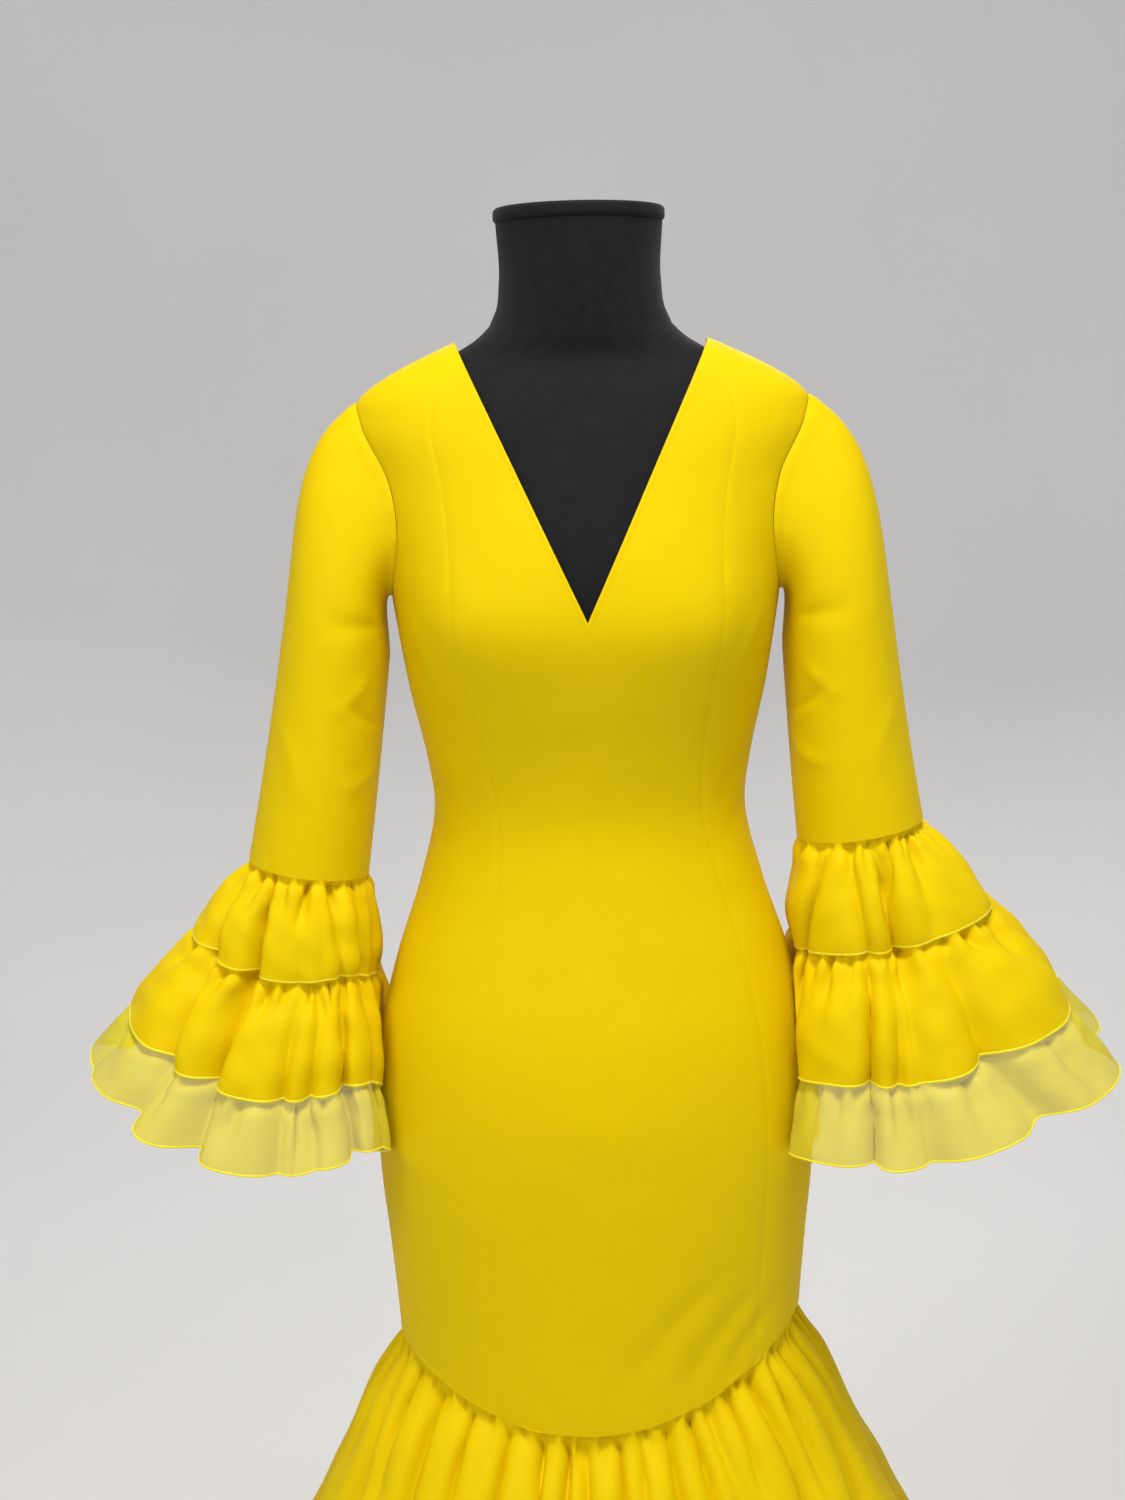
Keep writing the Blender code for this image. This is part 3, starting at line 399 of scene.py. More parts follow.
def creases(across, along, table, scale):
    """Sum of soft ridges and troughs, each on a line between two places on the cloth."""
    total = np.zeros(np.broadcast(across, along).shape)
    for across_0, along_0, across_1, along_1, width, rise in table:
        dx, dy = np.radians(across_1 - across_0) * scale, along_1 - along_0
        px = np.radians(turn_between(across, across_0)) * scale
        py = along - along_0
        length = math.hypot(dx, dy)
        t = (px * dx + py * dy) / length**2
        away = (px * dy - py * dx) / length
        bowed = away - 0.06 * length * np.sin(np.pi * np.clip(t, 0.0, 1.0))
        fade = ease(t / 0.35) * ease((1.0 - t) / 0.35)
        total += rise * hump(bowed, width * (0.7 + 0.6 * t.clip(0.0, 1.0))) * fade
    return total


JITTER = 0.32                   # how far a pucker may stand off its even place, in steps


def uneven_places(count, seed):
    """Angles all round, unevenly spaced, with a size and a reach for each."""
    rng = np.random.default_rng(seed)
    step = 360.0 / count
    angles = (np.arange(count) + rng.uniform(-JITTER, JITTER, count)) * step
    return angles, rng.uniform(0.5, 1.3, count), rng.uniform(0.5, 1.5, count), rng


def gathers(angle, drop, count, depth, reach, seed, sharp=0.22):
    """Puckers under a gathered seam: narrow troughs that fade as the cloth falls."""
    places, sizes, reaches, rng = uneven_places(count, seed)
    leans = rng.uniform(-0.5, 0.5, count) * 360.0 / count
    spread = 360.0 / count * sharp
    total = np.zeros(np.broadcast(angle, drop).shape)
    for place, size, length, lean in zip(places, sizes, reaches, leans):
        fade = np.exp(-((drop / (reach * length)) ** 1.4))
        centre = place + lean * np.minimum(drop / reach, 2.0)
        wide = spread * (1.0 + 0.9 * np.minimum(drop / reach, 2.0))
        total -= depth * size * fade * hump(turn_between(angle, centre), wide)
    return total


# --- meshes -----------------------------------------------------------------------------------
def new_object(name, data):
    """Object in the scene that holds a mesh, a curve, a light or a camera."""
    item = bpy.data.objects.new(name, data)
    bpy.context.scene.collection.objects.link(item)
    return item


def bind(item, nodes=()):
    """Fix an object to the dress and the solids that it stands for."""
    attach(item, BODY)
    if nodes:
        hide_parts(*nodes)


def turned_object(name, profile, steps, merge):
    """Object turned round Z from a profile of radius and height."""
    mesh = bpy.data.meshes.new(name)
    points = [(radius, 0.0, height) for radius, height in profile]
    mesh.from_pydata(points, [(i, i + 1) for i in range(len(points) - 1)], [])
    item = new_object(name, mesh)
    screw = item.modifiers.new("Turned", "SCREW")
    screw.steps = steps
    screw.render_steps = steps
    screw.use_merge_vertices = True
    screw.merge_threshold = merge
    screw.use_smooth_shade = True
    return item


def grid_object(name, points, closed, flip, cloth):
    """Mesh on a grid of points, rows by columns; cloth holds metres across and along it."""
    rows, columns = points.shape[:2]
    index = np.arange(rows * columns).reshape(rows, columns)
    if closed:
        index = np.concatenate([index, index[:, :1]], axis=1)
    corners = np.stack([index[:-1, :-1], index[:-1, 1:], index[1:, 1:], index[1:, :-1]], axis=-1)
    faces = corners.reshape(-1, 4)
    if flip:
        faces = faces[:, ::-1]
    mesh = bpy.data.meshes.new(name)
    mesh.from_pydata(points.reshape(-1, 3).tolist(), [], faces.tolist())
    store = mesh.attributes.new("cloth", "FLOAT_VECTOR", "POINT")
    flat = np.zeros((rows * columns, 3), dtype=np.float32)
    flat[:, :2] = cloth.reshape(-1, 2)
    store.data.foreach_set("vector", flat.ravel())
    mesh.shade_smooth()
    ends = np.empty(2 * len(mesh.edges), dtype=np.int32)
    mesh.edges.foreach_get("vertices", ends)
    row, column = np.divmod(ends.reshape(-1, 2), columns)
    rim = (row[:, 0] == row[:, 1]) & np.isin(row[:, 0], (0, rows - 1))
    if not closed:
        rim |= (column[:, 0] == column[:, 1]) & np.isin(column[:, 0], (0, columns - 1))
    mesh.edges.foreach_set("use_edge_sharp", rim)
    return new_object(name, mesh)


def cloth_distances(points):
    """Metres across and along the cloth at each point of a grid."""
    across = np.linalg.norm(np.diff(points, axis=1), axis=-1)
    along = np.linalg.norm(np.diff(points, axis=0), axis=-1)
    across = np.concatenate([np.zeros((len(points), 1)), across.cumsum(axis=1)], axis=1)
    along = np.concatenate([np.zeros((1, points.shape[1])), along.cumsum(axis=0)], axis=0)
    middle = across[len(points) // 2]
    return np.stack([np.broadcast_to(middle, across.shape), along], axis=-1)


def cloth_piece(name, points, closed, flip, wall, material, nodes):
    """Thin shell of cloth that stands for its solids."""
    item = grid_object(name, points, closed, flip, cloth_distances(points))
    item.data.materials.append(material)
    shell = item.modifiers.new("Wall", "SOLIDIFY")
    shell.thickness = wall
    shell.offset = 1.0
    shell.use_rim = True
    bind(item, nodes)
    return item


def cord_piece(name, points, radius, material):
    """Narrow rolled edge along a closed row of points."""
    curve = bpy.data.curves.new(name, "CURVE")
    curve.dimensions = "3D"
    spline = curve.splines.new("POLY")
    spline.points.add(len(points) - 1)
    spline.points.foreach_set("co", np.concatenate([points, np.ones((len(points), 1))], 1).ravel())
    spline.use_cyclic_u = True
    curve.bevel_depth = radius
    curve.bevel_resolution = 2
    curve.materials.append(material)
    item = new_object(name, curve)
    bind(item)
    return item


def mirrored(points, side):
    """The points themselves on the right, their mirror image on the left."""
    return points * np.array([-1.0 if side == "left" else 1.0, 1.0, 1.0])


# --- materials --------------------------------------------------------------------------------
def new_material(name):
    material = bpy.data.materials.new(name)
    material.use_nodes = True
    nodes, links = material.node_tree.nodes, material.node_tree.links
    return material, nodes, links, nodes["Principled BSDF"]


def node(nodes, kind, **values):
    """Add a shader node and set its properties and inputs by name."""
    made = nodes.new(kind)
    for key, value in values.items():
        if key in made.inputs:
            made.inputs[key].default_value = value
        else:
            setattr(made, key, value)
    return made


def fill(shader, values):
    for name, value in values.items():
        shader.inputs[name].default_value = value


def noise(nodes, links, place, **values):
    """Noise pattern from 0 to 1."""
    made = node(nodes, "ShaderNodeTexNoise", **values)
    links.new(place, made.inputs["Vector"])
    return made.outputs["Fac"]


def vary(nodes, links, shader, name, pattern, low, high):
    """Let one input of a shader run between two values with a pattern."""
    span = node(nodes, "ShaderNodeMapRange")
    span.inputs["To Min"].default_value = low
    span.inputs["To Max"].default_value = high
    links.new(pattern, span.inputs["Value"])
    links.new(span.outputs["Result"], shader.inputs[name])


def add_bump(nodes, links, shader, height, strength, distance):
    """Fine relief that only the light shows."""
    bump = node(nodes, "ShaderNodeBump", Strength=strength, Distance=distance)
    links.new(height, bump.inputs["Height"])
    links.new(bump.outputs["Normal"], shader.inputs["Normal"])


def thread_pattern(nodes, links, spacing):
    """Height of a plain weave, from 0 to 1, on the cloth's own metres."""
    place = node(nodes, "ShaderNodeAttribute", attribute_name="cloth").outputs["Vector"]
    waves = []
    for direction in ("X", "Y"):
        wave = node(nodes, "ShaderNodeTexWave", bands_direction=direction)
        wave.inputs["Scale"].default_value = 0.314 / spacing
        wave.inputs["Distortion"].default_value = 0.35
        wave.inputs["Detail Scale"].default_value = 4.0
        links.new(place, wave.inputs["Vector"])
        waves.append(wave.outputs["Fac"])
    weave = node(nodes, "ShaderNodeMath", operation="MULTIPLY")
    links.new(waves[0], weave.inputs[0])
    links.new(waves[1], weave.inputs[1])
    return place, weave.outputs[0]


def colour_by(nodes, links, shader, source, stops):
    """Give a shader a base colour that runs through stops as a pattern rises."""
    ramp = nodes.new("ShaderNodeValToRGB")
    elements = ramp.color_ramp.elements
    while len(elements) < len(stops):
        elements.new(0.5)
    for element, (position, colour) in zip(elements, stops):
        element.position = position
        element.color = (*colour, 1.0)
    links.new(source, ramp.inputs["Fac"])
    links.new(ramp.outputs["Color"], shader.inputs["Base Color"])


def crepe_material():
    """Smooth heavy crepe: fine pebbled grain, a slight sheen, a little light through it."""
    material, nodes, links, shader = new_material("yellow_crepe_cloth")
    place, weave = thread_pattern(nodes, links, 0.0007)
    slub = noise(nodes, links, place, Scale=38.0, Detail=4.0, Roughness=0.55)
    pebble = noise(nodes, links, place, Scale=1500.0, Detail=2.0)
    colour_by(
        nodes, links, shader, slub,
        ((0.30, (0.905, 0.668, 0.0004)), (0.70, (0.925, 0.688, 0.0005))),
    )
    vary(nodes, links, shader, "Roughness", slub, 0.50, 0.66)
    fill(shader, {
        "Sheen Weight": 0.02, "Sheen Roughness": 0.45, "Sheen Tint": (1.0, 0.86, 0.10, 1.0),
        "Specular IOR Level": 0.08,
    })
    grain = node(nodes, "ShaderNodeMath", operation="ADD")
    links.new(weave, grain.inputs[0])
    links.new(pebble, grain.inputs[1])
    add_bump(nodes, links, shader, grain.outputs[0], 0.16, 0.0002)
    through = node(nodes, "ShaderNodeBsdfTranslucent", Color=(1.0, 0.55, 0.0, 1.0))
    blend = node(nodes, "ShaderNodeMixShader")
    blend.inputs[0].default_value = 0.16
    links.new(shader.outputs[0], blend.inputs[1])
    links.new(through.outputs[0], blend.inputs[2])
    links.new(blend.outputs[0], nodes["Material Output"].inputs["Surface"])
    return material


def organza_material():
    """Sheer pale organza: threads show as a fine grid, with the ground seen between them."""
    material, nodes, links, shader = new_material("yellow_organza_cloth")
    place, weave = thread_pattern(nodes, links, 0.0006)
    cloudy = noise(nodes, links, place, Scale=30.0, Detail=3.0)
    colour_by(
        nodes, links, shader, cloudy,
        ((0.30, (0.78, 0.665, 0.020)), (0.70, (0.83, 0.715, 0.036))),
    )
    fill(shader, {
        "Roughness": 0.42, "Specular IOR Level": 0.2, "Sheen Weight": 0.08,
        "Sheen Tint": (1.0, 0.98, 0.5, 1.0),
    })
    vary(nodes, links, shader, "Alpha", weave, 0.56, 0.80)
    add_bump(nodes, links, shader, weave, 0.12, 0.0002)
    return material


def edge_material():
    """Bright overlocked thread of the rolled edges."""
    material, nodes, links, shader = new_material("yellow_rolled_edge")
    where = node(nodes, "ShaderNodeTexCoord").outputs["Object"]
    stitches = node(nodes, "ShaderNodeTexVoronoi", Scale=900.0)
    links.new(where, stitches.inputs["Vector"])
    colour_by(
        nodes, links, shader, stitches.outputs["Distance"],
        ((0.10, (0.95, 0.86, 0.004)), (0.80, (0.88, 0.76, 0.003))),
    )
    fill(shader, {"Roughness": 0.5, "Sheen Weight": 0.2})
    add_bump(nodes, links, shader, stitches.outputs["Distance"], 0.4, 0.0003)
    return material


def jersey_material():
    """Matte black jersey cover of the form."""
    material, nodes, links, shader = new_material("black_jersey_cover")
    place, weave = thread_pattern(nodes, links, 0.0011)
    lint = noise(nodes, links, place, Scale=60.0, Detail=5.0)
    colour_by(
        nodes, links, shader, lint,
        ((0.35, (0.0035, 0.0035, 0.0045)), (0.75, (0.0070, 0.0070, 0.0085))),
    )
    fill(shader, {"Roughness": 0.82, "Specular IOR Level": 0.25, "Sheen Weight": 0.06})
    add_bump(nodes, links, shader, weave, 0.3, 0.0004)
    return material


def painted_material(name, low, high, roughness, metallic, scale):
    """Painted or enamelled metal with a faint orange-peel surface."""
    material, nodes, links, shader = new_material(name)
    where = node(nodes, "ShaderNodeTexCoord").outputs["Object"]
    peel = noise(nodes, links, where, Scale=scale, Detail=3.0)
    colour_by(nodes, links, shader, peel, ((0.3, low), (0.7, high)))
    fill(shader, {"Roughness": roughness, "Metallic": metallic})
    add_bump(nodes, links, shader, peel, 0.15, 0.0003)
    return material


def studio_material():
    """Plain pale paper of the studio."""
    material, nodes, links, shader = new_material("studio_paper")
    where = node(nodes, "ShaderNodeTexCoord").outputs["Object"]
    mottle = noise(nodes, links, where, Scale=0.6, Detail=2.0)
    colour_by(
        nodes, links, shader, mottle,
        ((0.3, (0.76, 0.75, 0.74)), (0.7, (0.80, 0.79, 0.785))),
    )
    shader.inputs["Roughness"].default_value = 0.9
    return material


# --- the body of the dress --------------------------------------------------------------------
def panel_grid(first, last, columns, armhole_edge):
    """Points of a body panel from the flounce seam up to the neckline."""
    below = np.linspace(LOWEST_ROW, CHEST, 84, endpoint=False)
    turn = np.linspace(0.0, np.pi, 48)
    chest = np.linspace(CHEST, ARMHOLE_MIDDLE - ARMHOLE_RISE, 12, endpoint=False)
    hole = ARMHOLE_MIDDLE - ARMHOLE_RISE * np.cos(turn)
    above = np.linspace(SHOULDER, NECK_POINT, 12)[1:]
    level = np.concatenate([below, chest, hole, above])[:, None]
    share = np.linspace(0.0, 1.0, columns + 1)[None, :]
    nominal = mix(first, last, share) + 0.0 * level
    height = row_height(nominal + twist(level), level)
    start, end = first + 0.0 * height, last + 0.0 * height
    if armhole_edge == "first":
        front = math.cos(math.radians(first + 1.0)) > 0.0
        start = start + notch(height, ARMHOLE_FRONT if front else ARMHOLE_BACK)
    if armhole_edge == "last":
        front = math.cos(math.radians(last - 1.0)) > 0.0
        end = end - notch(height, ARMHOLE_FRONT if front else ARMHOLE_BACK)
    radius = body_point(90.0 + 0.0 * height, height)[..., 0]
    inset = np.degrees(SEAM_GAP / radius)
    angle = mix(start + inset, end - inset, share) + twist(height)
    width = np.radians(end - start) * radius * 0.85
    return angle, height, share * width, (1.0 - share) * width


GROOVE_DEPTH, GROOVE_WIDTH = 0.00042, 0.0013    # of a sewn seam
ROLL_RISE, ROLL_PLACE, ROLL_WIDTH = 0.00014, 0.0075, 0.0040    # over a seam's allowance
ZIP_RISE, ZIP_PLACE, ZIP_WIDTH, ZIP_END = 0.0007, 0.0026, 0.0018, 0.94


def build_panels(crepe):
    made = {}
    for name, first, last, columns, armhole_edge in PANELS:
        angle, height, from_first, from_last = panel_grid(first, last, columns, armhole_edge)
        points = body_point(angle, height)
        rise = creases(angle, height, BODY_CREASES, BODY_RADIUS)
        for place, distance in ((first, from_first), (last, from_last)):
            rise -= GROOVE_DEPTH * hump(distance, GROOVE_WIDTH)
            rise += ROLL_RISE * hump(distance - ROLL_PLACE, ROLL_WIDTH)
            if place == 180.0:
                lip = ZIP_RISE * hump(distance - ZIP_PLACE, ZIP_WIDTH)
                rise += lip * ease((height - ZIP_END) / 0.02)
        top = neckline(angle - twist(height))
        rise += 0.0004 * hump(top - height - 0.004, 0.004)
        points = push(points, rise, closed=False)
        made[name] = cloth_piece(
            "cloth_" + name, points, False, False, CREPE_WALL, crepe, [name]
        )
    return made


# --- the sleeves ------------------------------------------------------------------------------
def armhole_point(angle):
    """Point on the right armhole: 0 at the shoulder, 90 in front, 180 under the arm."""
    turn = np.radians(angle)
    height = ARMHOLE_MIDDLE + ARMHOLE_RISE * np.cos(turn)
    front = np.sin(turn) >= 0.0
    side = np.where(
        front,
        90.0 - notch(height, ARMHOLE_FRONT - ARMHOLE_GAP),
        90.0 + notch(height, ARMHOLE_BACK - ARMHOLE_GAP),
    )
    return body_point(side, height, out=0.0004)


def sleeve_ring(row, angle):
    """Ring of the right sleeve."""
    outer_x, outer_z, inner_x, inner_z, half_depth, middle_y = row
    turn = np.radians(angle)
    x = mix(inner_x, outer_x, (1.0 + np.cos(turn)) / 2.0)
    z = mix(inner_z, outer_z, (1.0 + np.cos(turn)) / 2.0)
    return np.stack([x, middle_y - half_depth * np.sin(turn), z], axis=-1)


def sleeve_grid(side, angle, cap_rows, arm_rows):
    """Points of the right-hand form of a sleeve, from the armhole to the cuff seam."""
    upper, elbow, cuff = (sleeve_ring(row, angle) for row in SLEEVE_ROWS[side])
    start = armhole_point(angle)
    topness = ((1.0 + np.cos(np.radians(angle))) / 2.0)[:, None]
    leave = np.concatenate(
        [np.ones_like(topness), np.zeros_like(topness), -0.55 * topness], axis=1
    )
    leave *= mix(CAP_PULL_UNDERARM, CAP_PULL_TOP, topness)
    leave /= np.linalg.norm([1.0, 0.0, 0.55])
    arrive = elbow - upper
    arrive *= mix(0.020, CAP_FALL, topness) / np.linalg.norm(arrive, axis=1, keepdims=True)
    t = np.linspace(0.0, 1.0, cap_rows, endpoint=False)[:, None, None]
    cap = (
        start * (1.0 - t) ** 3
        + (start + leave) * (3.0 * t * (1.0 - t) ** 2)
        + (upper - arrive) * (3.0 * t * t * (1.0 - t))
        + upper * t**3
    )
    t = np.linspace(0.0, 1.0, arm_rows)[:, None, None]
    bow = upper * (1.0 - t) ** 2 + (2.0 * elbow - (upper + cuff) / 2.0) * 2.0 * t * (1.0 - t)
    return np.concatenate([cap, bow + cuff * t * t], axis=0)


def build_sleeves(crepe):
    made = {}
    columns, cap_rows, arm_rows = 112, 44, 56
    angle = np.arange(columns) * 360.0 / columns
    for side in SLEEVE_ROWS:
        points = sleeve_grid(side, angle, cap_rows, arm_rows)
        share = np.linspace(0.0, 1.0, len(points))[:, None]
        along = share * SLEEVE_LENGTH
        placed = scaled(SLEEVE_CREASES, SLEEVE_LENGTH)
        rise = creases(angle[None, :], along, placed, SLEEVE_RADIUS)
        rise -= 0.0006 * hump(turn_between(angle, 180.0) / 60.0, 0.03)[None, :] * ease(share / 0.1)
        rise += gathers(angle[None, :], along, 40, 0.0007, 0.014, 5 + len(made))
        rise *= ease(share / 0.02) * ease((1.0 - share) / 0.03)
        rise += 0.0009 * hump(along - 0.006, 0.005)
        points = push(points, rise, closed=True)
        points = mirrored(points, side)
        made[side] = cloth_piece(
            "cloth_sleeve_" + side, points, True, side == "left", CREPE_WALL, crepe,
            ["sleeve_" + side],
        )
    return made


def scaled(table, length):
    """Crease table with its shares of a length made metres."""
    return tuple((a, b * length, c, d * length, w, r) for a, b, c, d, w, r in table)


def drawn_in(away, spread, lean, strength):
    """Degrees by which the cloth on both sides of a fold closes in on it and leans over it."""
    strength = np.clip(strength, 0.0, 1.0)
    return strength * (lean - DRAW * away) * hump(away, 1.5 * spread)


# --- the cuffs --------------------------------------------------------------------------------
def quarter_mix(angle, values):
    """Blend four values given at 0, 90, 180 and 270 degrees."""
    along, across = np.cos(np.radians(angle)), np.sin(np.radians(angle))
    shares = (along.clip(0), across.clip(0), (-along).clip(0), (-across).clip(0))
    return sum(value * share * share for value, share in zip(values, shares))


def tier_angle(tier, angle, share):
    """Slope of a tier from straight down, in radians: it springs out, then falls."""
    _, *flares, puff = TIERS[tier]
    return np.radians(quarter_mix(angle, flares) + puff * (1.0 - 2.0 * share))


def tier_length(side, tier, angle):
    """Length of a tier at an angle: parts of it are cut a little shorter or longer."""
    lifts = (
        part * hump(turn_between(angle, place), spread) for place, spread, part in HEM_LIFTS[side]
    )
    return TIER_LENGTHS[side][tier] * (1.0 - sum(lifts))


def tier_run(side, tier, angle, share):
    """How far out and down a tier has gone from its seam."""
    length = tier_length(side, tier, angle)
    strip = tier_angle(tier - 1, angle, 1.0) if tier else math.radians(SLEEVE_END_SLOPE)
    flat = np.minimum(share * length, SEAM_STRIP)
    bend = 2.0 * math.radians(TIERS[tier][5])
    begin = tier_angle(tier, angle, 0.0)
    now = tier_angle(tier, angle, np.maximum(0.0, share - SEAM_STRIP / length))
    out = flat * np.sin(strip) + length * (np.cos(now) - np.cos(begin)) / bend
    down = flat * np.cos(strip) + length * (np.sin(begin) - np.sin(now)) / bend
    return out, down


def cuff_fold(side, angle, tier, share):
    """Depth of the folds, and the degrees by which they draw the cloth in."""
    rise = share ** (math.log(0.5) / math.log(FOLDS_START)) if tier == 0 else share
    turned = 1.0 + 0.7 * ease(share / 0.6) if tier == 2 else 1.0
    total, drawn = 0.0, 0.0
    for places, spread, lean, *depths in CUFF_FOLDS[side]:
        away = turn_between(angle, mix(places[tier], places[tier + 1], share))
        depth = mix(depths[tier - 1] if tier else 0.0, depths[tier], rise)
        total = total + depth * hump(away, spread)
        drawn = drawn + drawn_in(away, spread, lean * turned, depth / FULL_FOLD)
    return total, drawn


def clear_of_hip(points):
    """Keep points of the right cuff outside the body, bending softly as they near it."""
    half_width, front, back = table_at(BODY_ROWS, points[..., 2])
    depth = np.where(points[..., 1] < 0.0, front, back)
    across = np.minimum(np.abs(points[..., 1]) / depth, 1.0)
    limit = half_width * np.sqrt(1.0 - across * across) + CREPE_IN_CAD + HIP_ROOM
    x = points[..., 0]
    soft = 0.003
    over = x - limit
    x = limit + np.where(over > soft, over, soft * np.exp(np.minimum((over - soft) / soft, 0.0)))
    return np.stack([x, points[..., 1], points[..., 2]], axis=-1)


def cuff_grid(side, tier, angle, share):
    """Points of a tier of a right-hand cuff, with no gathers yet."""
    angle, share = np.broadcast_arrays(angle, share)
    out, down = tier_run(side, tier, angle, share)
    for above in range(tier):
        more_out, more_down = tier_run(side, above, angle, 1.0)
        out, down = out + more_out, down + more_down
    depth, drawn = cuff_fold(side, angle, tier, share)
    out = out - depth
    points = sleeve_ring(SLEEVE_ROWS[side][-1], angle + drawn)
    turn = np.radians(angle + drawn)
    return points + np.stack([out * np.cos(turn), -out * np.sin(turn), -down], axis=-1)


CUFF_COLUMNS = 336
CUFF_DETAIL = (                 # rows, fine gathers, their depth, wide gathers, their depth
    (40, 44, 0.0028, 25, 0.0050),
    (44, 60, 0.0030, 36, 0.0060),
    (28, 70, 0.0022, 40, 0.0044),
)
EDGE_RADIUS = (0.0011, 0.0013, 0.0009)


def cuff_dents(side, tier, angle, drop):
    """Short deep dents that start at the gathered seams."""
    total = 0.0
    for where, first, last, spread, depth, reach in CUFF_DENTS[side]:
        if where == tier:
            place = mix(first, last, np.minimum(drop / reach, 1.5))
            fade = ease(drop / 0.005) * np.exp(-((drop / reach) ** 2))
            wide = spread * (0.6 + 0.6 * np.minimum(drop / reach, 1.5))
            total = total - depth * fade * hump(turn_between(angle, place), wide)
    return total


RIPPLE_WAVES, SHORTEST_RIPPLE, LONGEST_RIPPLE = 9, 0.022, 0.060


def ripples(points, seed):
    """Faint uneven swell of cloth that has been worn and handled, from about -1 to 1."""
    rng = np.random.default_rng(seed)
    total = 0.0
    for _ in range(RIPPLE_WAVES):
        wave = rng.normal(size=3)
        wave *= 2.0 * np.pi / (rng.uniform(SHORTEST_RIPPLE, LONGEST_RIPPLE) * np.linalg.norm(wave))
        total = total + np.sin(points @ wave + rng.uniform(0.0, 2.0 * np.pi)) / 4.0
    return total


def build_cuffs(crepe, organza, edge):
    made = []
    angle = (np.arange(CUFF_COLUMNS) * 360.0 / CUFF_COLUMNS)[None, :]
    for number, side in enumerate(CUFF_FOLDS):
        for tier, (name, *_) in enumerate(TIERS):
            rows, fine, fine_depth, wide, wide_depth = CUFF_DETAIL[tier]
            length = TIER_LENGTHS[side][tier]
            share = np.linspace(SEAM_GAP / length, 1.0, rows)[:, None]
            drop = share * length
            points = cuff_grid(side, tier, angle, share)
            seed = 11 + 10 * number + tier
            rise = gathers(angle, drop, fine, fine_depth, 0.010, seed)
            rise = rise + gathers(angle, drop, wide, wide_depth, 0.026, seed + 5)
            rise = rise + cuff_dents(side, tier, angle, drop)
            rise += 0.0016 * hump(drop - 0.012, 0.008) + ripples(points, seed) * 0.0011
            rise *= ease(drop / 0.0035)
            points = clear_of_hip(push(points, rise, closed=True))
            points = mirrored(points, side)
            sheer = name == "organza"
            piece = cloth_piece(
                f"cloth_cuff_{side}_{name}", points, True, side == "left",
                ORGANZA_WALL if sheer else CREPE_WALL, organza if sheer else crepe,
                [f"cuff_{side}_{name}"],
            )
            cord = cord_piece(
                f"edge_cuff_{side}_{name}", points[-1], EDGE_RADIUS[tier], edge
            )
            made.append((side, tier, piece, cord))
    return made


# --- the flounce ------------------------------------------------------------------------------
FLOUNCE_ROW_COUNT = 64
FLOUNCE_SWELL, FLOUNCE_EDGE_RADIUS = 0.0012, 0.0014


def flounce_grid(angle, share):
    """Points of the flounce, with no gathers yet."""
    angle, share = np.broadcast_arrays(angle, share)
    top = seam_height(angle) - SEAM_GAP
    spread, depth = table_at(FLOUNCE_ROWS, share * FLOUNCE_ROWS[-1][0])
    drop = share * (top - FLOUNCE_HEM)
    early = 0.0120 * ease((drop - 0.002) / 0.016) * (1.0 - ease(drop / 0.09))
    drift = ease(share / FLOUNCE_DRIFT)
    narrow = mix(0.38, 1.0, ease(drop / 0.35))
    fold, drawn = 0.0, 0.0
    for high, low, width, lean, part in FLOUNCE_FOLDS:
        away = turn_between(angle, mix(high, low, drift))
        fold = fold + part * hump(away, width * narrow)
        strength = 0.8 * ease(drop / 0.03)
        drawn = drawn + drawn_in(away, width * narrow, lean * narrow, strength * part)
    tucks, turned = flounce_tucks(angle, drop)
    drawn = drawn + turned
    out = spread + 0.35 * depth - (depth + early) * fold - tucks
    points = body_point(angle + drawn, top, out=out)
    points[..., 2] -= drop
    return points


def flounce_tucks(angle, drop):
    """Depth of the shorter folds between the long ones, and the degrees that each draws in."""
    total, drawn = 0.0, 0.0
    for high, low, spread, depth, reach in FLOUNCE_TUCKS:
        away = turn_between(angle, mix(high, low, np.minimum(drop / 0.1, 2.0)))
        fade = ease((drop - 0.002) / 0.019) * np.exp(-((drop / reach) ** 2))
        wide = spread * (0.55 + 0.75 * np.minimum(drop / 0.1, 1.6))
        total = total + 1.5 * depth * fade * hump(away, wide)
        drawn = drawn + drawn_in(away, wide, math.copysign(1.1, high + 20.0), fade)
    return total, drawn


def flounce_rise(angle, share):
    """Gathers under the seam, and behind, where no tucks are placed, wider ones as well."""
    drop = share * (seam_height(angle) - FLOUNCE_HEM)
    behind = ease((np.abs(turn_between(angle, -7.0)) - 78.0) / 12.0)
    rise = gathers(angle, drop, 112, 0.0038, 0.012, 71)
    rise = rise + gathers(angle, drop, 58, 0.0066, 0.024, 72) * mix(0.9, 1.0, behind)
    rise = rise + gathers(angle, drop, 40, 0.0120, 0.140, 73, sharp=0.24) * behind
    rise += 0.0022 * hump(drop - 0.020, 0.014)
    return rise * ease(drop / 0.0028)


def flounce_surface(angle, share, closed):
    """Points of the flounce with its gathers and a faint swell."""
    points = flounce_grid(angle, share)
    rise = flounce_rise(angle, share) + FLOUNCE_SWELL * ripples(points * 0.7, 81)
    return push(points, -rise, closed)


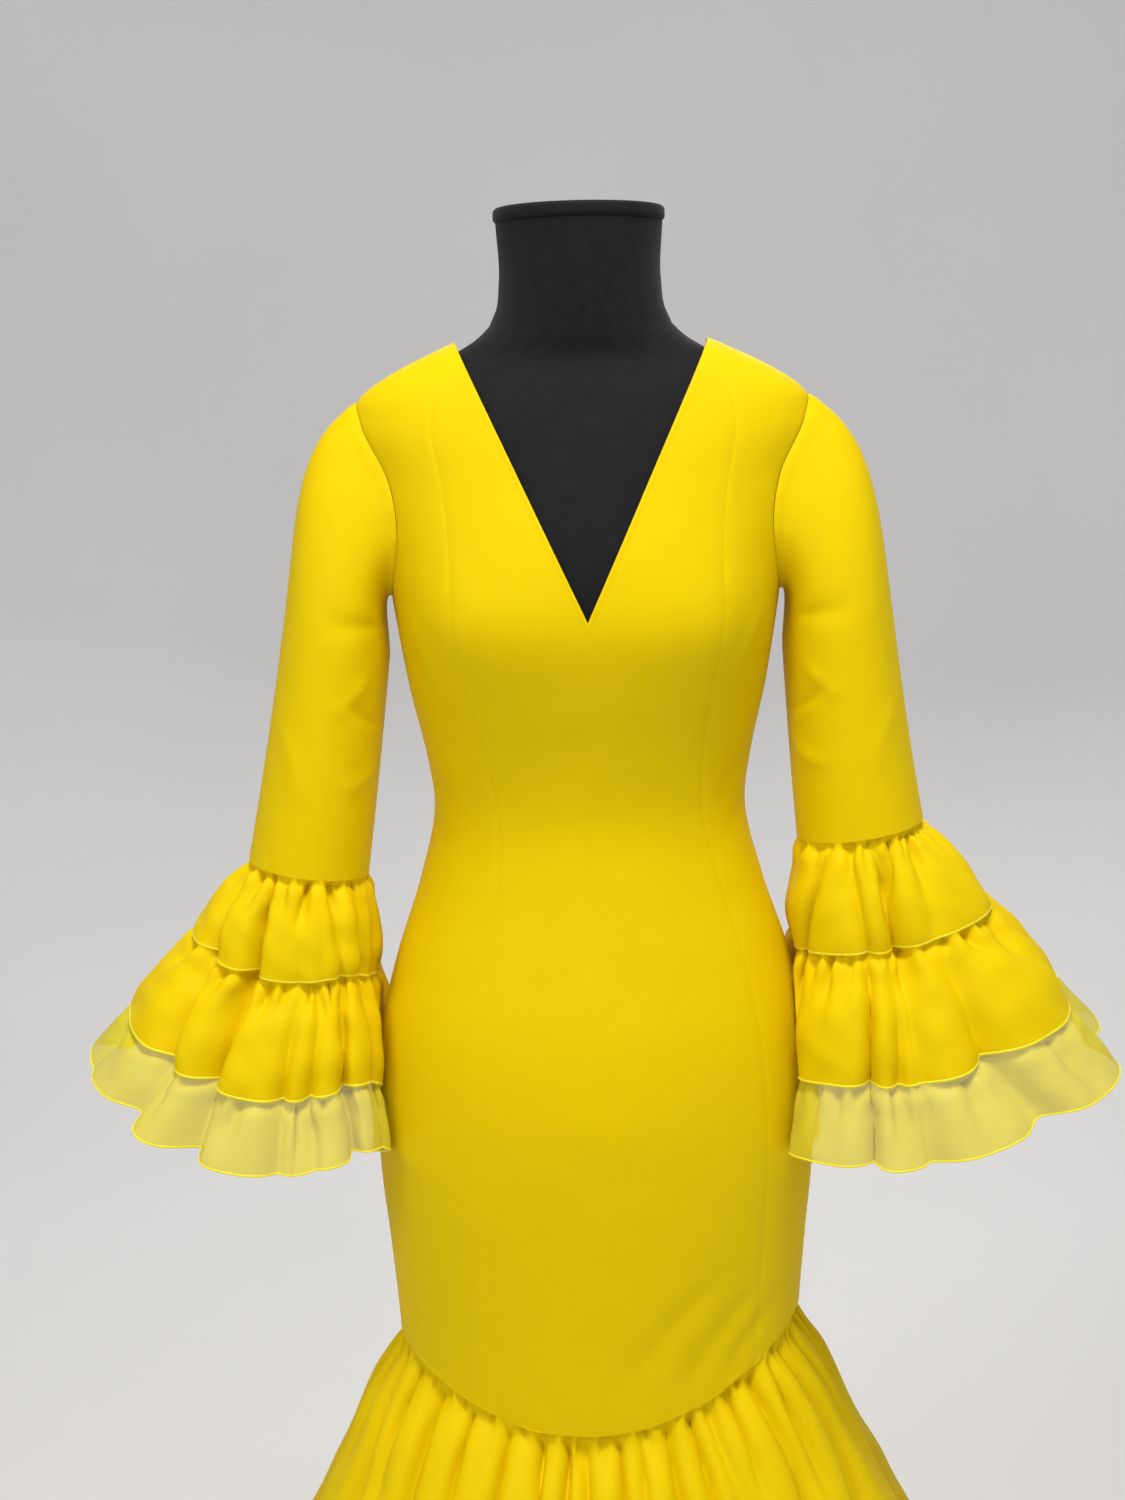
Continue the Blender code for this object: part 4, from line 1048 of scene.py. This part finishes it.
def build_flounce(crepe, edge):
    made = {}
    share = (np.linspace(0.0, 1.0, FLOUNCE_ROW_COUNT) ** 1.5)[:, None]
    for name, first, last, columns in GORES:
        step = np.linspace(0.0, 1.0, columns + 1)
        angle = mix(first, last, step)[None, :]
        extra = np.concatenate([angle[:, :1] - 0.5, angle, angle[:, -1:] + 0.5], axis=1)
        points = flounce_surface(extra, share, closed=False)[:, 1:-1]
        made[name] = cloth_piece(
            "cloth_" + name, points, False, True, CREPE_WALL, crepe, [name]
        )
    angle = np.linspace(0.0, 360.0, 720, endpoint=False)[None, :]
    ring = flounce_surface(angle, np.array([[0.999], [1.0]]), closed=True)[-1]
    cord = cord_piece("edge_flounce", ring, FLOUNCE_EDGE_RADIUS, edge)
    return made, cord


# --- the dress form and its stand -------------------------------------------------------------
FORM_ROOM, FORM_BOTTOM, FORM_ROUNDING, FORM_TOP_OF_CHEST = 0.0055, 0.800, 0.012, 1.452
FORM_BUST, FORM_NECK_SEAM = 0.085, 1.492
NECK_ROWS = (                   # height, half_width, front_depth, back_depth
    (1.470, 0.102, 0.050, 0.050),
    (1.484, 0.079, 0.053, 0.053),
    (1.500, 0.067, 0.055, 0.055),
    (1.525, 0.0625, 0.057, 0.056),
    (1.5690, 0.0640, 0.059, 0.057),
)


def form_section(height):
    """Half width, front depth and back depth of the form at a height."""
    body = [row[:1] + tuple(v - FORM_ROOM for v in row[1:]) for row in BODY_ROWS]
    body = [row for row in body if row[0] < FORM_TOP_OF_CHEST]
    return table_at(body + list(NECK_ROWS), height)


def build_form(jersey):
    """Torso and neck as one turned-in shell of jersey, closed below and under the cap."""
    columns = 128
    angle = (np.arange(columns) * 360.0 / columns)[None, :]
    lift = FORM_ROUNDING * (1.0 - np.cos(np.linspace(0.0, np.pi / 2.0, 8)))
    tuck = FORM_ROUNDING * (1.0 - np.sin(np.linspace(0.0, np.pi / 2.0, 8)))
    rest = np.linspace(FORM_BOTTOM + FORM_ROUNDING, NECK_ROWS[-1][0], 130)[1:]
    height = np.concatenate([FORM_BOTTOM + lift, rest])[:, None]
    inset = np.concatenate([tuck, np.zeros(len(rest))])[:, None]
    half_width, front, back = form_section(height)
    turn = np.radians(angle)
    depth = np.where(np.cos(turn) > 0.0, front, back) - inset
    half_width = half_width - inset
    level, sides = cups(angle, height)
    swell = 1.0 + FORM_BUST * level * sides
    points = np.stack(
        np.broadcast_arrays(
            half_width * np.sin(turn) * swell, -depth * np.cos(turn) * swell, height
        ),
        axis=-1,
    )
    rise = np.zeros(points.shape[:2])
    for seam in (-PRINCESS, PRINCESS, 90.0, 180.0, -90.0):
        rise = rise - 0.0006 * hump(turn_between(angle, seam) / 60.0, 0.012)
    rise = rise - 0.0008 * hump(height - FORM_NECK_SEAM, 0.0016)
    points = push(points, rise, closed=True)
    item = grid_object("form_torso_cover", points, True, False, cloth_distances(points))
    close_ends(item, columns)
    item.data.materials.append(jersey)
    bind(item, ["form_torso"])


def close_ends(item, columns):
    """Cap the first and the last ring of a tube."""
    shape = bmesh.new()
    shape.from_mesh(item.data)
    shape.verts.ensure_lookup_table()
    count = len(shape.verts)
    shape.faces.new([shape.verts[i] for i in range(columns)][::-1])
    shape.faces.new([shape.verts[i] for i in range(count - columns, count)])
    shape.to_mesh(item.data)
    shape.free()
    item.data.shade_smooth()
    item.data.set_sharp_from_angle(angle=math.radians(40.0))


def turned_piece(name, profile, material, nodes, steps=96, flatten=1.0):
    """Turned piece of the stand or the form, its profile given from top to bottom."""
    item = turned_object(name, profile, steps, 0.00005)
    split = item.modifiers.new("Edges", "EDGE_SPLIT")
    split.split_angle = math.radians(35.0)
    item.scale = (1.0, flatten, 1.0)
    item.data.materials.append(material)
    bind(item, nodes)


def arc(centre_radius, centre_height, radius, first, last, steps=6):
    """Points on a quarter round of a profile, angles in degrees from straight out."""
    turns = np.radians(np.linspace(first, last, steps + 1))
    return [
        (centre_radius + radius * math.cos(turn), centre_height + radius * math.sin(turn))
        for turn in turns
    ]


def build_stand(jersey, steel):
    low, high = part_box("form_neck_cap")
    radius, soft = high[0], 0.0035
    profile = [(0.0, high[2]), *arc(radius - soft, high[2] - soft, soft, 90.0, 0.0)]
    profile += [*arc(radius - soft, low[2] + soft, soft, 0.0, -90.0), (0.0, low[2])]
    turned_piece(
        "form_neck_cap_fine", profile, jersey, ["form_neck_cap"],
        flatten=high[1] / radius,
    )
    low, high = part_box("stand_socket")
    radius, soft = high[0], 0.0015
    profile = [(0.0, high[2]), (radius, high[2]), (radius, low[2] + soft)]
    profile += [*arc(radius - soft, low[2] + soft, soft, 0.0, -90.0), (0.0, low[2])]
    turned_piece("stand_socket_fine", profile, steel, ["stand_socket"], 48)
    low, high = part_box("stand_pole")
    profile = [(0.0, high[2]), (high[0], high[2]), (high[0], low[2]), (0.0, low[2])]
    turned_piece("stand_pole_fine", profile, steel, ["stand_pole"], 48)
    low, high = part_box("stand_base")
    rim, boss, top = high[0], 0.0220, high[2]
    profile = [(0.0, top), *arc(boss - 0.004, top - 0.004, 0.004, 90.0, 0.0)]
    profile += [(0.0228, 0.0300), (0.0250, 0.0225), (0.0300, 0.0185), (0.0400, 0.0160)]
    profile += [(0.0950, 0.0132), (0.1500, 0.0103), *arc(rim - 0.008, 0.0020, 0.008, 80.0, 15.0)]
    profile += [(rim, 0.0020), *arc(rim - 0.0015, 0.0015, 0.0015, 0.0, -90.0, 3), (0.0, 0.0)]
    turned_piece("stand_base_fine", profile, steel, ["stand_base"])


def finish_zip(enamel):
    """Give the zip's slider and pull tab their enamel."""
    for name in ("zip_slider", "zip_pull"):
        item = bpy.data.objects[name]
        for place in item.material_slots:
            place.material = enamel


# --- studio -----------------------------------------------------------------------------------
def build_studio():
    """Floor that curves up into a round wall, with the camera well inside it."""
    radius, curve, wall = 6.5, 4.0, 7.0
    floor = [(0.0, 0.0), (radius - curve, 0.0)]
    bend = [
        (radius - curve + curve * math.sin(turn), curve - curve * math.cos(turn))
        for turn in np.linspace(0.06, math.pi / 2.0, 24)
    ]
    item = turned_object("studio", floor + bend + [(radius, wall)], 96, 0.0001)
    item.data.materials.append(studio_material())


def add_area(name, place, target, size, power, colour):
    light = bpy.data.lights.new(name, "AREA")
    light.shape = "RECTANGLE"
    light.size, light.size_y = size
    light.energy = power
    light.color = colour
    item = new_object(name, light)
    item.location = place
    item.rotation_euler = (Vector(target) - Vector(place)).to_track_quat("-Z", "Y").to_euler()


def build_lights():
    middle = (0.0, 0.0, 1.0)
    add_area("overhead", (0.2, -0.9, 3.6), (0.0, 0.0, 1.0), (0.9, 0.9), 62.0, (1.0, 0.98, 0.95))
    add_area("key", (-1.9, -2.5, 3.1), middle, (0.8, 0.8), 31.0, (1.0, 0.985, 0.96))
    add_area("fill", (2.6, -2.4, 1.8), middle, (2.0, 2.4), 6.0, (0.96, 0.98, 1.0))
    add_area("back", (0.4, 3.3, 2.9), middle, (2.4, 1.8), 36.0, (1.0, 0.98, 0.95))
    for name, x, y in (("wash_back", 0.0, 1.0), ("wash_front", 0.0, -1.0)):
        place = (x, 2.2 * y, 4.6)
        add_area(name, place, (x, 6.0 * y, 2.2), (4.0, 1.0), 44.0, (0.97, 0.985, 1.0))
    world = bpy.data.worlds.new("studio_air")
    world.use_nodes = True
    air = world.node_tree.nodes["Background"]
    air.inputs["Color"].default_value = (0.93, 0.95, 1.0, 1.0)
    air.inputs["Strength"].default_value = 0.30
    bpy.context.scene.world = world


def build_camera():
    """A phone's main lens, held a little above the bust and tipped down."""
    lens = bpy.data.cameras.new("camera")
    lens.lens = 50.0
    lens.sensor_width = 36.0
    lens.clip_end = 60.0
    item = new_object("camera", lens)
    item.location = (-0.0155, -1.64, 1.42)
    item.rotation_euler = (math.radians(81.0), math.radians(1.19), 0.0)
    bpy.context.scene.camera = item
    bpy.context.scene.view_settings.view_transform = "Standard"


# --- build ------------------------------------------------------------------------------------
build_camera()
build_studio()
build_lights()
crepe, organza, edge = crepe_material(), organza_material(), edge_material()
jersey = jersey_material()
steel = painted_material(
    "black_powder_coat", (0.016, 0.016, 0.017), (0.024, 0.024, 0.025), 0.42, 0.3, 700.0
)
enamel = painted_material(
    "yellow_zip_enamel", (0.84, 0.62, 0.004), (0.88, 0.68, 0.008), 0.30, 0.0, 900.0
)
for name, piece in build_panels(crepe).items():
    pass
for side, piece in build_sleeves(crepe).items():
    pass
for side, tier, piece, cord in build_cuffs(crepe, organza, edge):
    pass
gores, flounce_edge = build_flounce(crepe, edge)
build_form(jersey)
build_stand(jersey, steel)
finish_zip(enamel)

bpy.context.view_layer.update()
